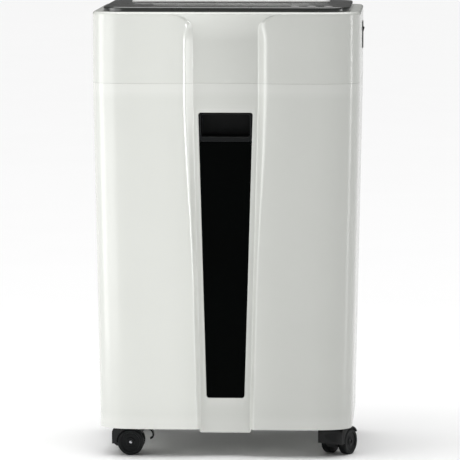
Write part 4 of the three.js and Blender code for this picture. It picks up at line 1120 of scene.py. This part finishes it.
def make_floor():
    material, shader = new_material("studio_floor", (0.9, 0.9, 0.9), 0.35)
    patches = add_noise(material, 3)
    links = material.node_tree.links
    links.new(add_mix(material, patches, (0.9, 0.9, 0.9), (0.88, 0.88, 0.88)), shader.inputs["Base Color"])
    size = 20
    mesh = bpy.data.meshes.new("floor")
    corners = [(-size, -size, 0), (size, -size, 0), (size, size, 0), (-size, size, 0)]
    mesh.from_pydata(corners, [], [(0, 1, 2, 3)])
    floor = bpy.data.objects.new("floor", mesh)
    mesh.materials.append(material)
    bpy.context.scene.collection.objects.link(floor)


def make_world():
    """White behind the object, and a dimmer white that lights it."""
    world = bpy.data.worlds.new("studio")
    bpy.context.scene.world = world
    world.use_nodes = True
    tree = world.node_tree
    background = tree.nodes["Background"]
    path = tree.nodes.new("ShaderNodeLightPath")
    level = tree.nodes.new("ShaderNodeMapRange")
    level.inputs["To Min"].default_value = 0.1
    level.inputs["To Max"].default_value = 1.05
    tree.links.new(path.outputs["Is Camera Ray"], level.inputs["Value"])
    tree.links.new(level.outputs["Result"], background.inputs["Strength"])
    background.inputs["Color"].default_value = (1, 1, 1, 1)


def area_light(name, place, target, size, energy, spread=180):
    """A rectangular soft light; a narrow spread makes it a beam."""
    light = bpy.data.lights.new(name, "AREA")
    light.shape = "RECTANGLE"
    light.size, light.size_y = size
    light.energy = energy
    light.spread = math.radians(spread)
    lamp = bpy.data.objects.new(name, light)
    lamp.location = place
    lamp.rotation_euler = (Vector(target) - Vector(place)).to_track_quat("-Z", "Y").to_euler()
    lamp.visible_camera = False
    bpy.context.scene.collection.objects.link(lamp)


def sun_light(name, direction, strength, spread):
    """A broad even light from a direction, the same all over the floor."""
    light = bpy.data.lights.new(name, "SUN")
    light.energy = strength
    light.angle = math.radians(spread)
    lamp = bpy.data.objects.new(name, light)
    lamp.rotation_euler = Vector(direction).to_track_quat("Z", "Y").to_euler()
    bpy.context.scene.collection.objects.link(lamp)


def make_lights():
    sun_light("overhead", (0, 0, 1), 4.3, 80)
    area_light("left_fill", (-1.3, -0.35, 0.4), (-0.19, -0.1, 0.35), (0.5, 1.2), 7.2)
    area_light("left_front_fill", (-1.1, -0.9, 0.4), (-0.15, -0.15, 0.35), (0.8, 1.2), 6.2)
    area_light("far_beam", (0.9, -0.26, 0.34), (-0.1, -0.148, 0.34), (0.12, 0.9), 0.04, spread=20)
    area_light("near_beam", (0.45, -0.6, 0.34), (-0.1, -0.148, 0.34), (0.08, 0.9), 0.18, spread=16)


def make_camera():
    """A long lens a little above and to the right of straight ahead."""
    camera = bpy.data.objects.new("camera", bpy.data.cameras.new("camera"))
    bpy.context.scene.collection.objects.link(camera)
    bpy.context.scene.camera = camera
    distance, azimuth, pitch = 6.0, math.radians(2.75), math.radians(5.613)
    camera.location = (distance * math.sin(azimuth), -distance * math.cos(azimuth), 0.9056)
    camera.rotation_euler = (math.pi / 2 - pitch, 0, azimuth)
    camera.data.sensor_width = 36
    camera.data.lens = 321.4
    camera.data.clip_start, camera.data.clip_end = 0.1, 100


make_camera()
make_world()
make_lights()
make_floor()
build()
bpy.context.scene.view_settings.view_transform = "Standard"
